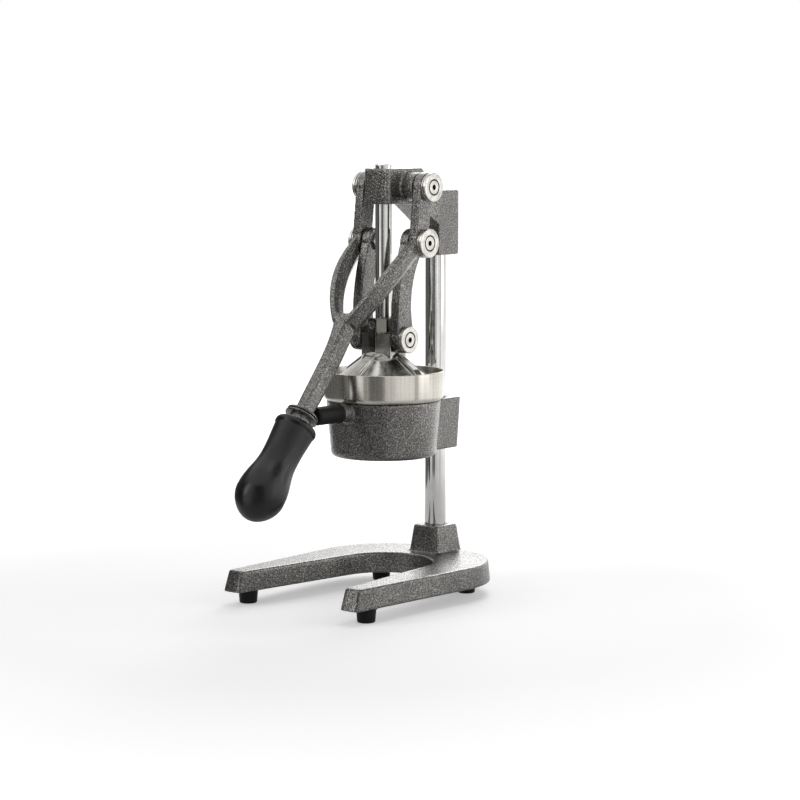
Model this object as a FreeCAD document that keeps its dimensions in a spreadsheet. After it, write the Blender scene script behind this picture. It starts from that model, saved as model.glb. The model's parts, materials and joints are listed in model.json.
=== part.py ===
import FreeCAD, Part
import math
import os

import Sketcher

# Hand lever citrus press. Millimetres and degrees. X points right, Y points back, Z points up,
# the floor is Z = 0 and the user stands in front, on the -Y side. The press axis is the vertical
# line through the guide rod, the press head, the reamer and the juice outlet.

# Every driving dimension: cell name, value and what it is.
DIMENSIONS = (
    ("press_axis_y", 0, "press axis behind the middle of the footprint, worked out below"),
    ("running_gap", 0.05, "radial clearance of a shaft that turns or slides in its bush"),
    ("side_gap", 0.3, "axial clearance between pieces that turn beside each other"),
    # Posts.
    ("rod_dia", 15, "guide rod"),
    ("rod_top", 399, "top of the guide rod with the lever down"),
    ("rod_socket_floor", 231, "floor of the rod's socket in the press head"),
    ("column_dia", 20, "column"),
    ("column_offset", 76, "column axis behind the press axis"),
    ("column_top", 368, "top of the column inside the upper clamp"),
    ("column_thread_depth", 26, "threaded hole in the column's foot"),
    ("column_bolt_dia", 10, "bolt that draws the column into the hub"),
    ("column_bolt_flats", 16, "across the flats of that bolt's head"),
    ("column_bolt_head", 6.4, "height of that bolt's head"),
    ("washer_dia", 20, "washer under the column bolt"),
    ("washer_thick", 1.8, "washer thickness"),
    # Base casting and feet.
    ("foot_height", 12.5, "rubber foot, floor to casting"),
    ("foot_top_dia", 19.4, "foot at the casting"),
    ("foot_bottom_dia", 16, "foot at the floor"),
    ("foot_round", 0.8, "rounding of a foot's lower edge"),
    ("foot_recess_dia", 9.5, "recess for the screw head"),
    ("foot_recess_depth", 6.5, "depth of that recess"),
    ("foot_screw_dia", 4, "foot screw"),
    ("foot_screw_head_dia", 7.6, "head of the foot screw"),
    ("foot_screw_head", 2.8, "height of that head"),
    ("foot_screw_grip", 10, "thread length in the casting"),
    ("front_foot_x", 71, "front foot from the middle plane"),
    ("front_foot_y", 108, "front foot ahead of the press axis"),
    ("rear_foot_x", 52, "rear foot from the middle plane"),
    ("rear_foot_y", 58, "rear foot behind the press axis"),
    ("base_thick", 19.5, "height of the legs"),
    ("base_draft", 6, "draft of the base casting's walls"),
    ("leg_reach", 132, "leg tips ahead of the press axis"),
    ("leg_tip_outer", 81, "outer edge of a leg tip"),
    ("leg_tip_inner", 60, "inner edge of a leg tip"),
    ("leg_tip_lean", 6, "lean of a leg tip's end face"),
    ("leg_tip_round", 4, "rounding of a leg tip's upright corners"),
    ("base_half_width", 88.5, "half width at the shoulder"),
    ("base_corner_run", 77, "reach of the rear corners ahead of the rear edge"),
    ("base_corner_ease", 7.0308, "added radius that flattens the rear corners' arcs"),
    ("base_back", 21, "rear edge behind the column's axis"),
    ("base_rear_half", 20, "half width of the straight rear edge"),
    ("throat_radius", 44, "round end of the throat under the juice outlet"),
    ("throat_lead", 7, "angle where the throat's straight sides meet the round end"),
    ("hub_top", 57.5, "top of the hub"),
    ("hub_width", 30, "hub across, at its top"),
    ("hub_length", 31, "hub front to back, at its top"),
    ("hub_draft", 6.7, "draft of the hub"),
    ("column_seat", 26, "floor of the column's socket in the hub"),
    ("bolt_recess_depth", 7, "recess for the column bolt under the hub"),
    ("bolt_recess_dia", 23, "width of that recess"),
    ("edge_round", 1.6, "rounding of the castings' edges"),
    # Upper bracket.
    ("block_width", 29.4, "guide block and arm across"),
    ("block_front", 11.1, "front of the guide block ahead of the press axis"),
    ("block_top", 395, "top of the guide block"),
    ("block_bottom", 362.5, "underside of the guide block"),
    ("block_back", 38, "end of the level top behind the press axis"),
    ("arm_under_y", 30, "start of the arm's sloping underside"),
    ("arm_root_z", 342, "where that slope meets the clamp"),
    ("clamp_side_wall", 6.9, "wall of the clamps beside the column"),
    ("clamp_end_wall", 5.5, "wall of the clamps ahead of the column and behind it"),
    ("clamp_round", 3.5, "rounding of the clamps' upright corners"),
    ("upper_clamp_top", 374.3, "top of the upper clamp"),
    ("upper_clamp_bottom", 313.6, "bottom of the upper clamp"),
    ("boss_dia", 26.6, "bosses that carry the lever"),
    ("boss_end", 28, "end of a boss from the middle plane"),
    ("bush_wall", 2, "wall of a bush"),
    ("guide_bush_length", 14, "guide bush"),
    ("set_screw_dia", 8, "set screws that lock the clamps"),
    ("set_screw_sink", 1.2, "how far a set screw sits below the face"),
    # Bowl bracket.
    ("bowl_top", 183, "rim of the cast bowl"),
    ("bowl_bottom", 131, "underside of the cast bowl"),
    ("bowl_top_radius", 53, "cast bowl at its rim"),
    ("bowl_bottom_radius", 48.5, "cast bowl at its underside"),
    ("bowl_wall", 5, "wall of the cast bowl"),
    ("bowl_floor", 5, "floor of the cast bowl"),
    ("bowl_round", 5, "rounding of the cast bowl's lower edge"),
    ("outlet_radius", 20, "hole in the cast bowl's floor"),
    ("bowl_clamp_top", 179, "top of the bowl clamp"),
    ("bowl_clamp_back", 19, "rear of the bowl clamp behind the column's axis, at its top"),
    ("bowl_clamp_lean", 4.5, "how much that face leans in at the bottom"),
    ("peg_height", 175.3, "axis of the lever's stop peg"),
    ("peg_dia", 13, "cast peg"),
    ("peg_reach", 89, "end of the cast peg ahead of the press axis"),
    ("sleeve_dia", 18.4, "rubber sleeve on the peg"),
    ("sleeve_start", 57.5, "near end of the sleeve"),
    ("sleeve_tip", 96.5, "far end of the sleeve"),
    ("sleeve_round", 2, "rounding of the sleeve's ends"),
    # Strainer pan, reamer and funnel.
    ("sheet_metal", 1.5, "thickness of the pan"),
    ("pan_radius", 56, "pan at its rim"),
    ("pan_top", 210, "rim of the pan"),
    ("pan_round", 5, "rounding where the pan's wall turns in"),
    ("sump_depth", 6.5, "well of the pan below the cast bowl's rim"),
    ("sump_gap", 1.2, "clearance of that well in the cast bowl"),
    ("slot_count", 28, "juice slots in the pan's floor"),
    ("slot_width", 2.2, "juice slot across"),
    ("slot_inner", 35.5, "inner end of a juice slot"),
    ("slot_outer", 43.5, "outer end of a juice slot"),
    ("reamer_radius", 33, "foot of the reamer"),
    ("reamer_height", 33, "reamer above the pan's floor"),
    ("reamer_nose", 9, "radius of the reamer's tip"),
    ("reamer_brim", 2.2, "height of the reamer's foot ring"),
    ("reamer_ribs", 10, "ribs on the reamer"),
    ("reamer_rib_width", 2.4, "rib across"),
    ("reamer_rib_rise", 1.6, "rib above the reamer's skin"),
    ("reamer_screw_dia", 6, "screw that holds the reamer in the pan"),
    ("funnel_metal", 1.2, "thickness of the funnel"),
    ("funnel_rim_radius", 45.5, "funnel at its rim"),
    ("funnel_rim_z", 171, "rim of the funnel"),
    ("funnel_seat_radius", 27, "outer edge of the funnel's seat on the cast floor"),
    ("spout_gap", 1.5, "spout's clearance in the outlet"),
    ("spout_end", 131.8, "lower end of the spout"),
    # Press head.
    ("head_top", 259, "top of the head's neck"),
    ("head_shoulder", 245, "top of the head's cheeks"),
    ("head_root", 226, "where the hub meets the cup"),
    ("head_waist", 222, "where the cup begins to flare"),
    ("head_front", 16.5, "front face of the hub ahead of the press axis"),
    ("head_face_half", 4.7, "half width of that face"),
    ("neck_half", 11.3, "half width of the neck"),
    ("neck_side_half", 8, "half depth of the neck's side face"),
    ("cheek_half", 17.5, "half width across the cheeks that face the links"),
    ("cheek_side_half", 11, "half depth of a cheek"),
    ("root_radius", 18, "cup's radius under the hub"),
    ("flare_start", 20.6, "radius where the flare begins"),
    ("flare_knee", 39, "radius where the flare turns down"),
    ("flare_knee_z", 210, "height of that turn"),
    ("flare_end", 44.5, "outer radius of the head"),
    ("flare_rim_z", 206.5, "top edge of the head's skirt"),
    ("skirt_bottom", 193, "lower edge of the head's skirt"),
    ("skirt_wall", 3, "wall of the skirt"),
    ("cavity_roof_radius", 15, "flat roof of the head's cavity"),
    ("cavity_roof_z", 219.5, "height of that roof"),
    ("head_rib_width", 9, "ribs on the flare"),
    ("head_rib_rise", 2.4, "ribs above the flare"),
    ("head_screw_z", 252.6, "set screw that locks the rod"),
    ("head_screw_dia", 6, "diameter of that set screw"),
    # Lever geometry, with the lever down.
    ("pivot_a_y", 19.7, "lever pivot behind the press axis"),
    ("pivot_a_z", 378, "height of the lever pivot"),
    ("crank_length", 51, "lever pivot to link pivot"),
    ("crank_angle", 6.5, "crank, forward from straight down"),
    ("link_length", 89, "link pivot to head pivot"),
    ("lever_angle", 40.2, "lever, forward from straight down"),
    ("eye_inner", 29, "inner face of the lever's eyes from the middle plane"),
    ("eye_thick", 9.5, "thickness of the lever's eyes"),
    ("eye_dia", 27, "lever's eyes"),
    ("crank_web", 16, "width of the web between the eyes"),
    ("fork_length", 108, "link pivot to where the fork's arms meet"),
    ("fork_power", 2.6, "how late the arms turn in"),
    ("fork_bow", 10.5, "how far the arms bow forward"),
    ("arm_root_width", 9.2, "fork arm across beside the link"),
    ("arm_width", 11, "fork arm across at its middle"),
    ("arm_depth", 17.5, "fork arm front to back"),
    ("arm_round", 0.27, "share of a fork arm's section that is cut off at each corner"),
    ("bar_width", 12, "lever bar across"),
    ("bar_depth", 18, "lever bar front to back"),
    ("bar_round", 0.16, "share of the bar's section that is cut off at each corner"),
    ("bar_end_width", 12, "lever bar across at the collar"),
    ("bar_end_depth", 14.5, "lever bar front to back at the collar"),
    ("collar_at", 196, "collar from the link pivot"),
    ("collar_dia", 31, "collar"),
    ("collar_thick", 5, "collar thickness"),
    ("lever_neck_dia", 21, "neck between the collar and the grip"),
    ("tang_dia", 12, "tang inside the grip"),
    ("tang_length", 62, "tang from the grip's mouth"),
    # Grip.
    ("grip_start", 203, "mouth of the grip from the link pivot"),
    ("grip_end", 306, "far end of the grip"),
    ("grip_mouth_radius", 14.5, "grip at its mouth"),
    ("grip_flare_radius", 19.6, "grip at its flare"),
    ("grip_flare_at", 212, "flare from the link pivot"),
    ("grip_waist_radius", 17.2, "grip at its waist"),
    ("grip_waist_at", 239, "waist from the link pivot"),
    ("grip_bulb_radius", 22.6, "grip at its bulb"),
    ("grip_bulb_at", 281, "bulb from the link pivot"),
    ("insert_dia", 18, "threaded insert in the grip"),
    ("insert_length", 26, "length of that insert"),
    # Links.
    ("link_inner", 18.3, "inner face of a link from the middle plane"),
    ("link_thick", 9.4, "thickness of a link"),
    ("link_top_dia", 26, "link's upper eye"),
    ("link_foot_dia", 25, "link's lower eye"),
    ("link_front_radius", 190, "radius of a link's front edge"),
    ("link_rear_radius", 84, "radius of a link's rear edge"),
    # Pivot bolts and bushes.
    ("bolt_head_dia", 26.4, "heads of the upper and middle pivot bolts"),
    ("foot_bolt_head_dia", 24.6, "heads of the lower pivot bolts"),
    ("bolt_head_thick", 5.1, "thickness of a bolt head"),
    ("foot_bolt_head_thick", 4, "thickness of a lower bolt's head"),
    ("bolt_edge", 0.9, "chamfer of a bolt head"),
    ("groove_inner", 6.4, "ring groove in a bolt head, inner radius"),
    ("groove_outer", 7.3, "ring groove, outer radius"),
    ("groove_depth", 0.6, "ring groove depth"),
    ("socket_radius", 2.2, "hole in the middle of a bolt head"),
    ("socket_depth", 2.6, "depth of that hole"),
    ("shoulder_dia", 12, "shoulder of a pivot bolt"),
    ("thread_dia", 10, "thread of a pivot bolt"),
    ("thread_end", 5, "inner end of the upper bolts' thread"),
    ("foot_thread_end", 9.5, "inner end of the lower bolts' thread"),
    ("flange_dia", 22, "flange of a bush"),
    ("flange_thick", 0.5, "thickness of that flange"),
    ("nut_flats", 15.6, "across the flats of a link nut"),
    ("nut_thick", 2.5, "thickness of a link nut"),
)

doc = FreeCAD.newDocument("citrus_press")
sheet = doc.addObject("Spreadsheet::Sheet", "dims")
for row, (alias, value, meaning) in enumerate(DIMENSIONS, start=1):
    sheet.set(f"A{row}", meaning)
    sheet.set(f"B{row}", str(value))
    sheet.setAlias(f"B{row}", alias)
doc.recompute()

# Places that follow from the driving dimensions, as expressions in the cells.
PIVOT_B_Y = "(dims.pivot_a_y - dims.crank_length * sin(dims.crank_angle))"
PIVOT_B_Z = "(dims.pivot_a_z - dims.crank_length * cos(dims.crank_angle))"
PIVOT_C_Z = f"({PIVOT_B_Z} - sqrt(dims.link_length ^ 2 - {PIVOT_B_Y} ^ 2))"
LINK_LEAN = f"asin({PIVOT_B_Y} / dims.link_length)"
EYE_OUTER = "(dims.eye_inner + dims.eye_thick)"
LINK_OUTER = "(dims.link_inner + dims.link_thick)"
BOLT_FACE = f"({EYE_OUTER} + dims.side_gap)"
OPEN_END = f"({LINK_OUTER} + dims.side_gap)"
BASE_TOP = "(dims.foot_height + dims.base_thick)"
BASE_REAR = "(dims.column_offset + dims.base_back)"
BASE_SHOULDER = f"({BASE_REAR} - dims.base_corner_run)"
BOWL_CLAMP_REAR = "(dims.column_offset + dims.bowl_clamp_back)"
CLAMP_HALF_WIDTH = "(dims.column_dia / 2 + dims.clamp_side_wall)"
CLAMP_HALF_LENGTH = "(dims.column_dia / 2 + dims.clamp_end_wall)"
CLAMP_FRONT = f"(dims.column_offset - {CLAMP_HALF_LENGTH})"
CLAMP_REAR = f"(dims.column_offset + {CLAMP_HALF_LENGTH})"
SUMP_FLOOR = "(dims.bowl_top - dims.sump_depth)"
PAN_FLOOR_TOP = f"({SUMP_FLOOR} + dims.sheet_metal)"
SUMP_RADIUS = "(dims.bowl_top_radius - dims.bowl_wall - dims.sump_gap)"
GUIDE_BORE = "(dims.rod_dia / 2 + dims.running_gap + dims.bush_wall)"
PIVOT_BORE = "(dims.shoulder_dia / 2 + dims.running_gap + dims.bush_wall)"
BOWL_FLOOR_TOP = "(dims.bowl_bottom + dims.bowl_floor)"

SUBPARTS = []
VERTICAL = 0.999


def size(expression):
    """Value of an expression in the cells, in millimetres or degrees."""
    value = sheet.evalExpression(str(expression))
    return float(getattr(value, "Value", value))


def bind(item, **sizes):
    for name, expression in sizes.items():
        item.setExpression(name, str(expression))


def new_body(node, y="0", z="0", turn=None):
    """A sub-part's body, at (0, y, z) from the press axis, turned about X by an expression."""
    body = doc.addObject("PartDesign::Body", node)
    body.Label = node
    if turn is not None:
        body.Placement = FreeCAD.Placement(FreeCAD.Vector(), FreeCAD.Rotation(FreeCAD.Vector(1, 0, 0), 1))
        body.setExpression("Placement.Rotation.Angle", turn)
    body.setExpression("Placement.Base.y", f"dims.press_axis_y + {y}")
    body.setExpression("Placement.Base.z", z)
    SUBPARTS.append(body)
    return body


def new_sketch(body, name, plane, offset):
    """A sketch on one of the body's own planes, moved along its normal."""
    planes = {feature.Role: feature for feature in body.Origin.OriginFeatures}
    sketch = body.newObject("Sketcher::SketchObject", name)
    sketch.AttachmentSupport = [(planes[plane + "_Plane"], "")]
    sketch.MapMode = "FlatFace"
    sketch.setExpression("AttachmentOffset.Base.z", str(offset))
    return sketch


def arc_between(start, end, radius, travel):
    """The shorter arc from start to end, travelled counter-clockwise or clockwise."""
    if travel == "clockwise":
        start, end = end, start
    middle = (start + end) * 0.5
    chord = end - start
    left = FreeCAD.Vector(-chord.y, chord.x, 0).normalize()
    centre = middle + left * math.sqrt(max(radius ** 2 - (chord.Length / 2) ** 2, 0))
    first = math.atan2(start.y - centre.y, start.x - centre.x)
    last = math.atan2(end.y - centre.y, end.x - centre.x)
    return Part.ArcOfCircle(Part.Circle(centre, FreeCAD.Vector(0, 0, 1), radius), first, last)


def draw(sketch, corners):
    """A closed outline. A corner is (x, y), or (x, y, radius, travel) where an arc leaves it."""
    points = [FreeCAD.Vector(size(corner[0]), size(corner[1]), 0) for corner in corners]
    ends = []
    for number, corner in enumerate(corners):
        start, end = points[number], points[(number + 1) % len(points)]
        if len(corner) == 2:
            edge = sketch.addGeometry(Part.LineSegment(start, end), False)
            ends.append((edge, 1, 2))
            continue
        edge = sketch.addGeometry(arc_between(start, end, size(corner[2]), corner[3]), False)
        ends.append((edge, 1, 2) if corner[3] == "counter" else (edge, 2, 1))
    for number, (edge, first, last) in enumerate(ends):
        after, after_first, _ = ends[(number + 1) % len(ends)]
        sketch.addConstraint(Sketcher.Constraint("Coincident", edge, last, after, after_first))
    for number, (edge, first, last) in enumerate(ends):
        corner = corners[number]
        for kind, coordinate, value in zip(("DistanceX", "DistanceY"), corner, points[number]):
            tie = sketch.addConstraint(Sketcher.Constraint(kind, -1, 1, edge, first, float(value)))
            sketch.setExpression(f"Constraints[{tie}]", str(coordinate))
        if len(corner) > 2:
            tie = sketch.addConstraint(Sketcher.Constraint("Radius", edge, size(corner[2])))
            sketch.setExpression(f"Constraints[{tie}]", str(corner[2]))


def draw_circle(sketch, x, y, radius):
    centre = FreeCAD.Vector(size(x), size(y), 0)
    circle = sketch.addGeometry(Part.Circle(centre, FreeCAD.Vector(0, 0, 1), size(radius)), False)
    for kind, expression in (("DistanceX", x), ("DistanceY", y)):
        tie = sketch.addConstraint(Sketcher.Constraint(kind, -1, 1, circle, 3, size(expression)))
        sketch.setExpression(f"Constraints[{tie}]", str(expression))
    tie = sketch.addConstraint(Sketcher.Constraint("Radius", circle, size(radius)))
    sketch.setExpression(f"Constraints[{tie}]", str(radius))


def hexagon(flats):
    """Corners of a hexagon about the sketch's origin."""
    corner = f"({flats}) / sqrt(3)"
    return [(f"{corner} * cos({angle})", f"{corner} * sin({angle})") for angle in range(0, 360, 60)]


def pad(body, name, plane, offset, length, shape, taper=None):
    """Adds a prism. shape is a list of corners, or (x, y, radius) for a round one."""
    sketch = new_sketch(body, f"{body.Name}_{name}_outline", plane, offset)
    draw_circle(sketch, *shape) if isinstance(shape, tuple) else draw(sketch, shape)
    feature = body.newObject("PartDesign::Pad", f"{body.Name}_{name}")
    feature.Profile = sketch
    bind(feature, Length=length)
    if taper is not None:
        bind(feature, TaperAngle=f"-({taper})")
    doc.recompute()
    return feature


def pocket(body, name, plane, offset, length, shape):
    """Cuts a prism that runs from the offset plane along its normal."""
    volume = body.Shape.Volume
    sketch = new_sketch(body, f"{body.Name}_{name}_outline", plane, offset)
    draw_circle(sketch, *shape) if isinstance(shape, tuple) else draw(sketch, shape)
    feature = body.newObject("PartDesign::Pocket", f"{body.Name}_{name}")
    feature.Profile = sketch
    feature.Reversed = True
    bind(feature, Length=length)
    doc.recompute()
    if body.Shape.Volume >= volume:
        raise RuntimeError(f"{feature.Name} cuts nothing")
    return feature


def turn(body, name, axis, corners, kind="PartDesign::Revolution"):
    """Turns a profile of (along, radius) corners about the body's own X, Y or Z axis."""
    plane = {"X": "XZ", "Y": "YZ", "Z": "XZ"}[axis]
    if axis == "Z":
        swap = {"counter": "clockwise", "clockwise": "counter"}
        corners = [(c[1], c[0]) if len(c) == 2 else (c[1], c[0], c[2], swap[c[3]]) for c in corners]
    sketch = new_sketch(body, f"{body.Name}_{name}_profile", plane, "0")
    draw(sketch, corners)
    feature = body.newObject(kind, f"{body.Name}_{name}")
    feature.Profile = sketch
    feature.ReferenceAxis = (sketch, ["V_Axis" if axis == "Z" else "H_Axis"])
    feature.Angle = 360
    doc.recompute()
    return feature


def tube(start, end, inner, outer):
    """Profile of a plain tube or, with inner 0, of a rod."""
    return [(start, inner), (end, inner), (end, outer), (start, outer)]


def round_edges(body, name, radius, wanted):
    """Rounds the edges of the body so far that wanted() picks."""
    edges = body.Tip.Shape.Edges
    picked = [f"Edge{number}" for number, edge in enumerate(edges, start=1) if wanted(edge)]
    if not picked:
        raise RuntimeError(f"{body.Name}_{name} finds no edge")
    before = body.Tip
    feature = body.newObject("PartDesign::Fillet", f"{body.Name}_{name}")
    feature.Base = (before, picked)
    bind(feature, Radius=radius)
    doc.recompute()
    return feature


def direction(edge):
    """Unit direction of a straight edge, or None."""
    chord = edge.lastVertex().Point - edge.firstVertex().Point
    if chord.Length < 0.01 or edge.Length - chord.Length > 0.01:
        return None
    return chord.normalize()


def upright(edge):
    way = direction(edge)
    return way is not None and abs(way.z) > VERTICAL


def ring(edge, along, place, radius, reach=0.05):
    """Whether an edge is a circle about an axis, at a place along it and of a radius."""
    if edge.Curve.TypeId != "Part::GeomCircle":
        return False
    centre = edge.Curve.Center
    return (abs(getattr(centre, along) - size(place)) < reach
            and abs(edge.Curve.Radius - size(radius)) < reach)


def turned_part(node, axis, corners, y="0", z="0", turn_angle=None):
    body = new_body(node, y, z, turn_angle)
    turn(body, "profile", axis, corners)
    return body


# Base casting: a horseshoe with a hub for the column at its rear.
def base_casting():
    body = new_body("base_casting")
    throat_x = "dims.throat_radius * cos(dims.throat_lead)"
    throat_y = "dims.throat_radius * sin(dims.throat_lead)"
    side, run = "(dims.base_half_width - dims.base_rear_half)", "dims.base_corner_run"
    corner = f"(({side} ^ 2 + {run} ^ 2) / (2 * {run}) + dims.base_corner_ease)"
    outline = [
        ("dims.leg_tip_inner", "-dims.leg_reach"),
        ("dims.leg_tip_outer", "-dims.leg_reach"),
        ("dims.base_half_width", BASE_SHOULDER, corner, "counter"),
        ("dims.base_rear_half", BASE_REAR),
        ("-dims.base_rear_half", BASE_REAR, corner, "counter"),
        ("-dims.base_half_width", BASE_SHOULDER),
        ("-dims.leg_tip_outer", "-dims.leg_reach"),
        ("-dims.leg_tip_inner", "-dims.leg_reach"),
        ("-" + throat_x, throat_y, "dims.throat_radius", "clockwise"),
        (throat_x, throat_y),
    ]
    pad(body, "legs", "XY", "dims.foot_height", "dims.base_thick", outline, "dims.base_draft")
    run = "(dims.hub_top - dims.foot_height - 1) * tan(dims.hub_draft)"
    half = f"(dims.hub_width / 2 + {run})"
    front = f"(dims.column_offset - dims.hub_length / 2 - {run})"
    rear = f"(dims.column_offset + dims.hub_length / 2 + {run})"
    foot = [(half, front), (half, rear), ("-" + half, rear), ("-" + half, front)]
    pad(body, "hub", "XY", "dims.foot_height + 1", "dims.hub_top - dims.foot_height - 1", foot,
        "dims.hub_draft")
    reach = "(dims.base_half_width + 10)"
    lean = [
        ("-dims.leg_reach - 5", "dims.foot_height"),
        ("-dims.leg_reach", "dims.foot_height"),
        ("-dims.leg_reach + dims.leg_tip_lean", BASE_TOP + " + 1"),
        ("-dims.leg_reach - 5", BASE_TOP + " + 1"),
    ]
    pocket(body, "tips", "YZ", "-" + reach, "2 * " + reach, lean)

    def tip_corner(edge):
        way = direction(edge)
        return way is not None and way.z ** 2 > 0.8 and edge.CenterOfMass.y < size("10 - dims.leg_reach")

    round_edges(body, "tip_corners", "dims.leg_tip_round", tip_corner)

    def hub_corner(edge):
        way = direction(edge)
        return way is not None and way.z ** 2 > 0.8 and edge.CenterOfMass.z > size(BASE_TOP)

    round_edges(body, "hub_corners", "dims.clamp_round", hub_corner)
    top = size(BASE_TOP)

    def top_edge(edge):
        box = edge.BoundBox
        level = box.ZMax - box.ZMin < 0.1
        away = box.Center.y < size("dims.throat_radius") or abs(box.Center.x) > size(half)
        return level and abs(box.ZMax - top) < 0.1 and away

    round_edges(body, "top_edges", "dims.edge_round", top_edge)
    round_edges(body, "hub_rim", "dims.edge_round",
                lambda edge: edge.BoundBox.ZMin > size("dims.hub_top") - 0.1)
    pocket(body, "column_socket", "XY", "dims.column_seat", "dims.hub_top - dims.column_seat + 1",
           ("0", "dims.column_offset", "dims.column_dia / 2"))
    pocket(body, "bolt_hole", "XY", "dims.foot_height - 1", "dims.column_seat - dims.foot_height + 2",
           ("0", "dims.column_offset", "dims.column_bolt_dia / 2"))
    pocket(body, "bolt_recess", "XY", "dims.foot_height - 1", "dims.bolt_recess_depth + 1",
           ("0", "dims.column_offset", "dims.bolt_recess_dia / 2"))
    for name, x, y in foot_places():
        pocket(body, f"{name}_thread", "XY", "dims.foot_height - 1", "dims.foot_screw_grip + 1",
               (x, y, "dims.foot_screw_dia / 2"))


def foot_places():
    """Name and place of each foot about the press axis."""
    return (
        ("foot_front_left", "-dims.front_foot_x", "-dims.front_foot_y"),
        ("foot_front_right", "dims.front_foot_x", "-dims.front_foot_y"),
        ("foot_rear_left", "-dims.rear_foot_x", "dims.rear_foot_y"),
        ("foot_rear_right", "dims.rear_foot_x", "dims.rear_foot_y"),
    )


# Tapered rubber feet, each held by a screw in a recess.
def feet():
    for node, x, y in foot_places():
        body = new_body(node, y)
        body.setExpression("Placement.Base.x", x)
        turn(body, "profile", "Z", [
            ("0", "dims.foot_recess_dia / 2"),
            ("0", "dims.foot_bottom_dia / 2"),
            ("dims.foot_height", "dims.foot_top_dia / 2"),
            ("dims.foot_height", "dims.foot_screw_dia / 2"),
            ("dims.foot_recess_depth", "dims.foot_screw_dia / 2"),
            ("dims.foot_recess_depth", "dims.foot_recess_dia / 2"),
        ])
        round_edges(body, "floor_edge", "dims.foot_round",
                    lambda edge: ring(edge, "z", "0", "dims.foot_bottom_dia / 2"))
        screw = new_body(node.replace("foot_", "foot_screw_"), y)
        screw.setExpression("Placement.Base.x", x)
        turn(screw, "profile", "Z", [
            ("dims.foot_recess_depth - dims.foot_screw_head", "0"),
            ("dims.foot_height + dims.foot_screw_grip", "0"),
            ("dims.foot_height + dims.foot_screw_grip", "dims.foot_screw_dia / 2"),
            ("dims.foot_recess_depth", "dims.foot_screw_dia / 2"),
            ("dims.foot_recess_depth", "dims.foot_screw_head_dia / 2"),
            ("dims.foot_recess_depth - dims.foot_screw_head + 1", "dims.foot_screw_head_dia / 2"),
            ("dims.foot_recess_depth - dims.foot_screw_head", "dims.foot_screw_head_dia / 2 - 1"),
        ])


# Column, with a bolt from below that draws it into the hub.
def column_group():
    edge = "1"
    top, radius = "dims.column_top", "dims.column_dia / 2"
    thread = "dims.column_bolt_dia / 2"
    turned_part("column", "Z", [
        ("dims.column_seat", thread),
        ("dims.column_seat", f"{radius} - {edge}"),
        (f"dims.column_seat + {edge}", radius),
        (f"{top} - {edge}", radius),
        (top, f"{radius} - {edge}"),
        (top, "0"),
        ("dims.column_seat + dims.column_thread_depth", "0"),
        ("dims.column_seat + dims.column_thread_depth", thread),
    ], "dims.column_offset")
    ceiling = "(dims.foot_height + dims.bolt_recess_depth)"
    turned_part("column_washer", "Z",
                tube(f"{ceiling} - dims.washer_thick", ceiling, thread, "dims.washer_dia / 2"),
                "dims.column_offset")
    bolt = new_body("column_bolt", "dims.column_offset")
    seat = f"({ceiling} - dims.washer_thick)"
    pad(bolt, "head", "XY", f"{seat} - dims.column_bolt_head", "dims.column_bolt_head",
        hexagon("dims.column_bolt_flats"))
    pad(bolt, "shank", "XY", f"{seat} - 1", f"dims.column_seat + dims.column_thread_depth - 3 - {seat}",
        ("0", "0", thread))


# Upper bracket: guide block, arm, clamp and the two bosses that carry the lever.
def upper_bracket():
    body = new_body("upper_bracket")
    side = [
        ("-dims.block_front", "dims.block_bottom"),
        ("dims.arm_under_y", "dims.block_bottom"),
        (CLAMP_FRONT, "dims.arm_root_z"),
        (CLAMP_FRONT + " + 4", "dims.arm_root_z"),
        (CLAMP_FRONT + " + 4", "dims.upper_clamp_top - 2"),
        (CLAMP_FRONT, "dims.upper_clamp_top - 2"),
        ("dims.block_back", "dims.block_top"),
        ("-dims.block_front", "dims.block_top"),
    ]
    pad(body, "arm", "YZ", "-dims.block_width / 2", "dims.block_width", side)
    round_edges(body, "nose", "dims.clamp_round",
                lambda edge: upright(edge) and edge.CenterOfMass.y < -size("dims.block_front") + 0.1)
    half = CLAMP_HALF_WIDTH
    clamp = [(half, CLAMP_FRONT), (half, CLAMP_REAR), ("-" + half, CLAMP_REAR), ("-" + half, CLAMP_FRONT)]
    pad(body, "clamp", "XY", "dims.upper_clamp_bottom",
        "dims.upper_clamp_top - dims.upper_clamp_bottom", clamp)
    round_edges(body, "clamp_corners", "dims.clamp_round",
                lambda edge: upright(edge) and edge.CenterOfMass.y > size(CLAMP_REAR) - 0.1)
    round_edges(body, "clamp_ends", "dims.edge_round", clamp_end)
    pad(body, "bosses", "YZ", "-dims.boss_end", "2 * dims.boss_end",
        ("dims.pivot_a_y", "dims.pivot_a_z", "dims.boss_dia / 2"))
    pocket(body, "guide_bore", "XY", "dims.block_bottom - 1", "dims.block_top - dims.block_bottom + 2",
           ("0", "0", GUIDE_BORE))
    pocket(body, "column_bore", "XY", "dims.upper_clamp_bottom - 1",
           "dims.column_top - dims.upper_clamp_bottom + 1",
           ("0", "dims.column_offset", "dims.column_dia / 2"))
    pocket(body, "pivot_bore", "YZ", "-dims.boss_end - 1", "2 * dims.boss_end + 2",
           ("dims.pivot_a_y", "dims.pivot_a_z", "dims.thread_dia / 2"))
    pocket(body, "set_screw_bore", "XZ", f"-{CLAMP_REAR} - 1", CLAMP_HALF_LENGTH + " + 1",
           ("0", UPPER_SCREW_Z, "dims.set_screw_dia / 2"))


UPPER_SCREW_Z = "((dims.upper_clamp_top + dims.upper_clamp_bottom) / 2)"
BOWL_SCREW_Z = "((dims.bowl_clamp_top + dims.bowl_bottom) / 2)"


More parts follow.
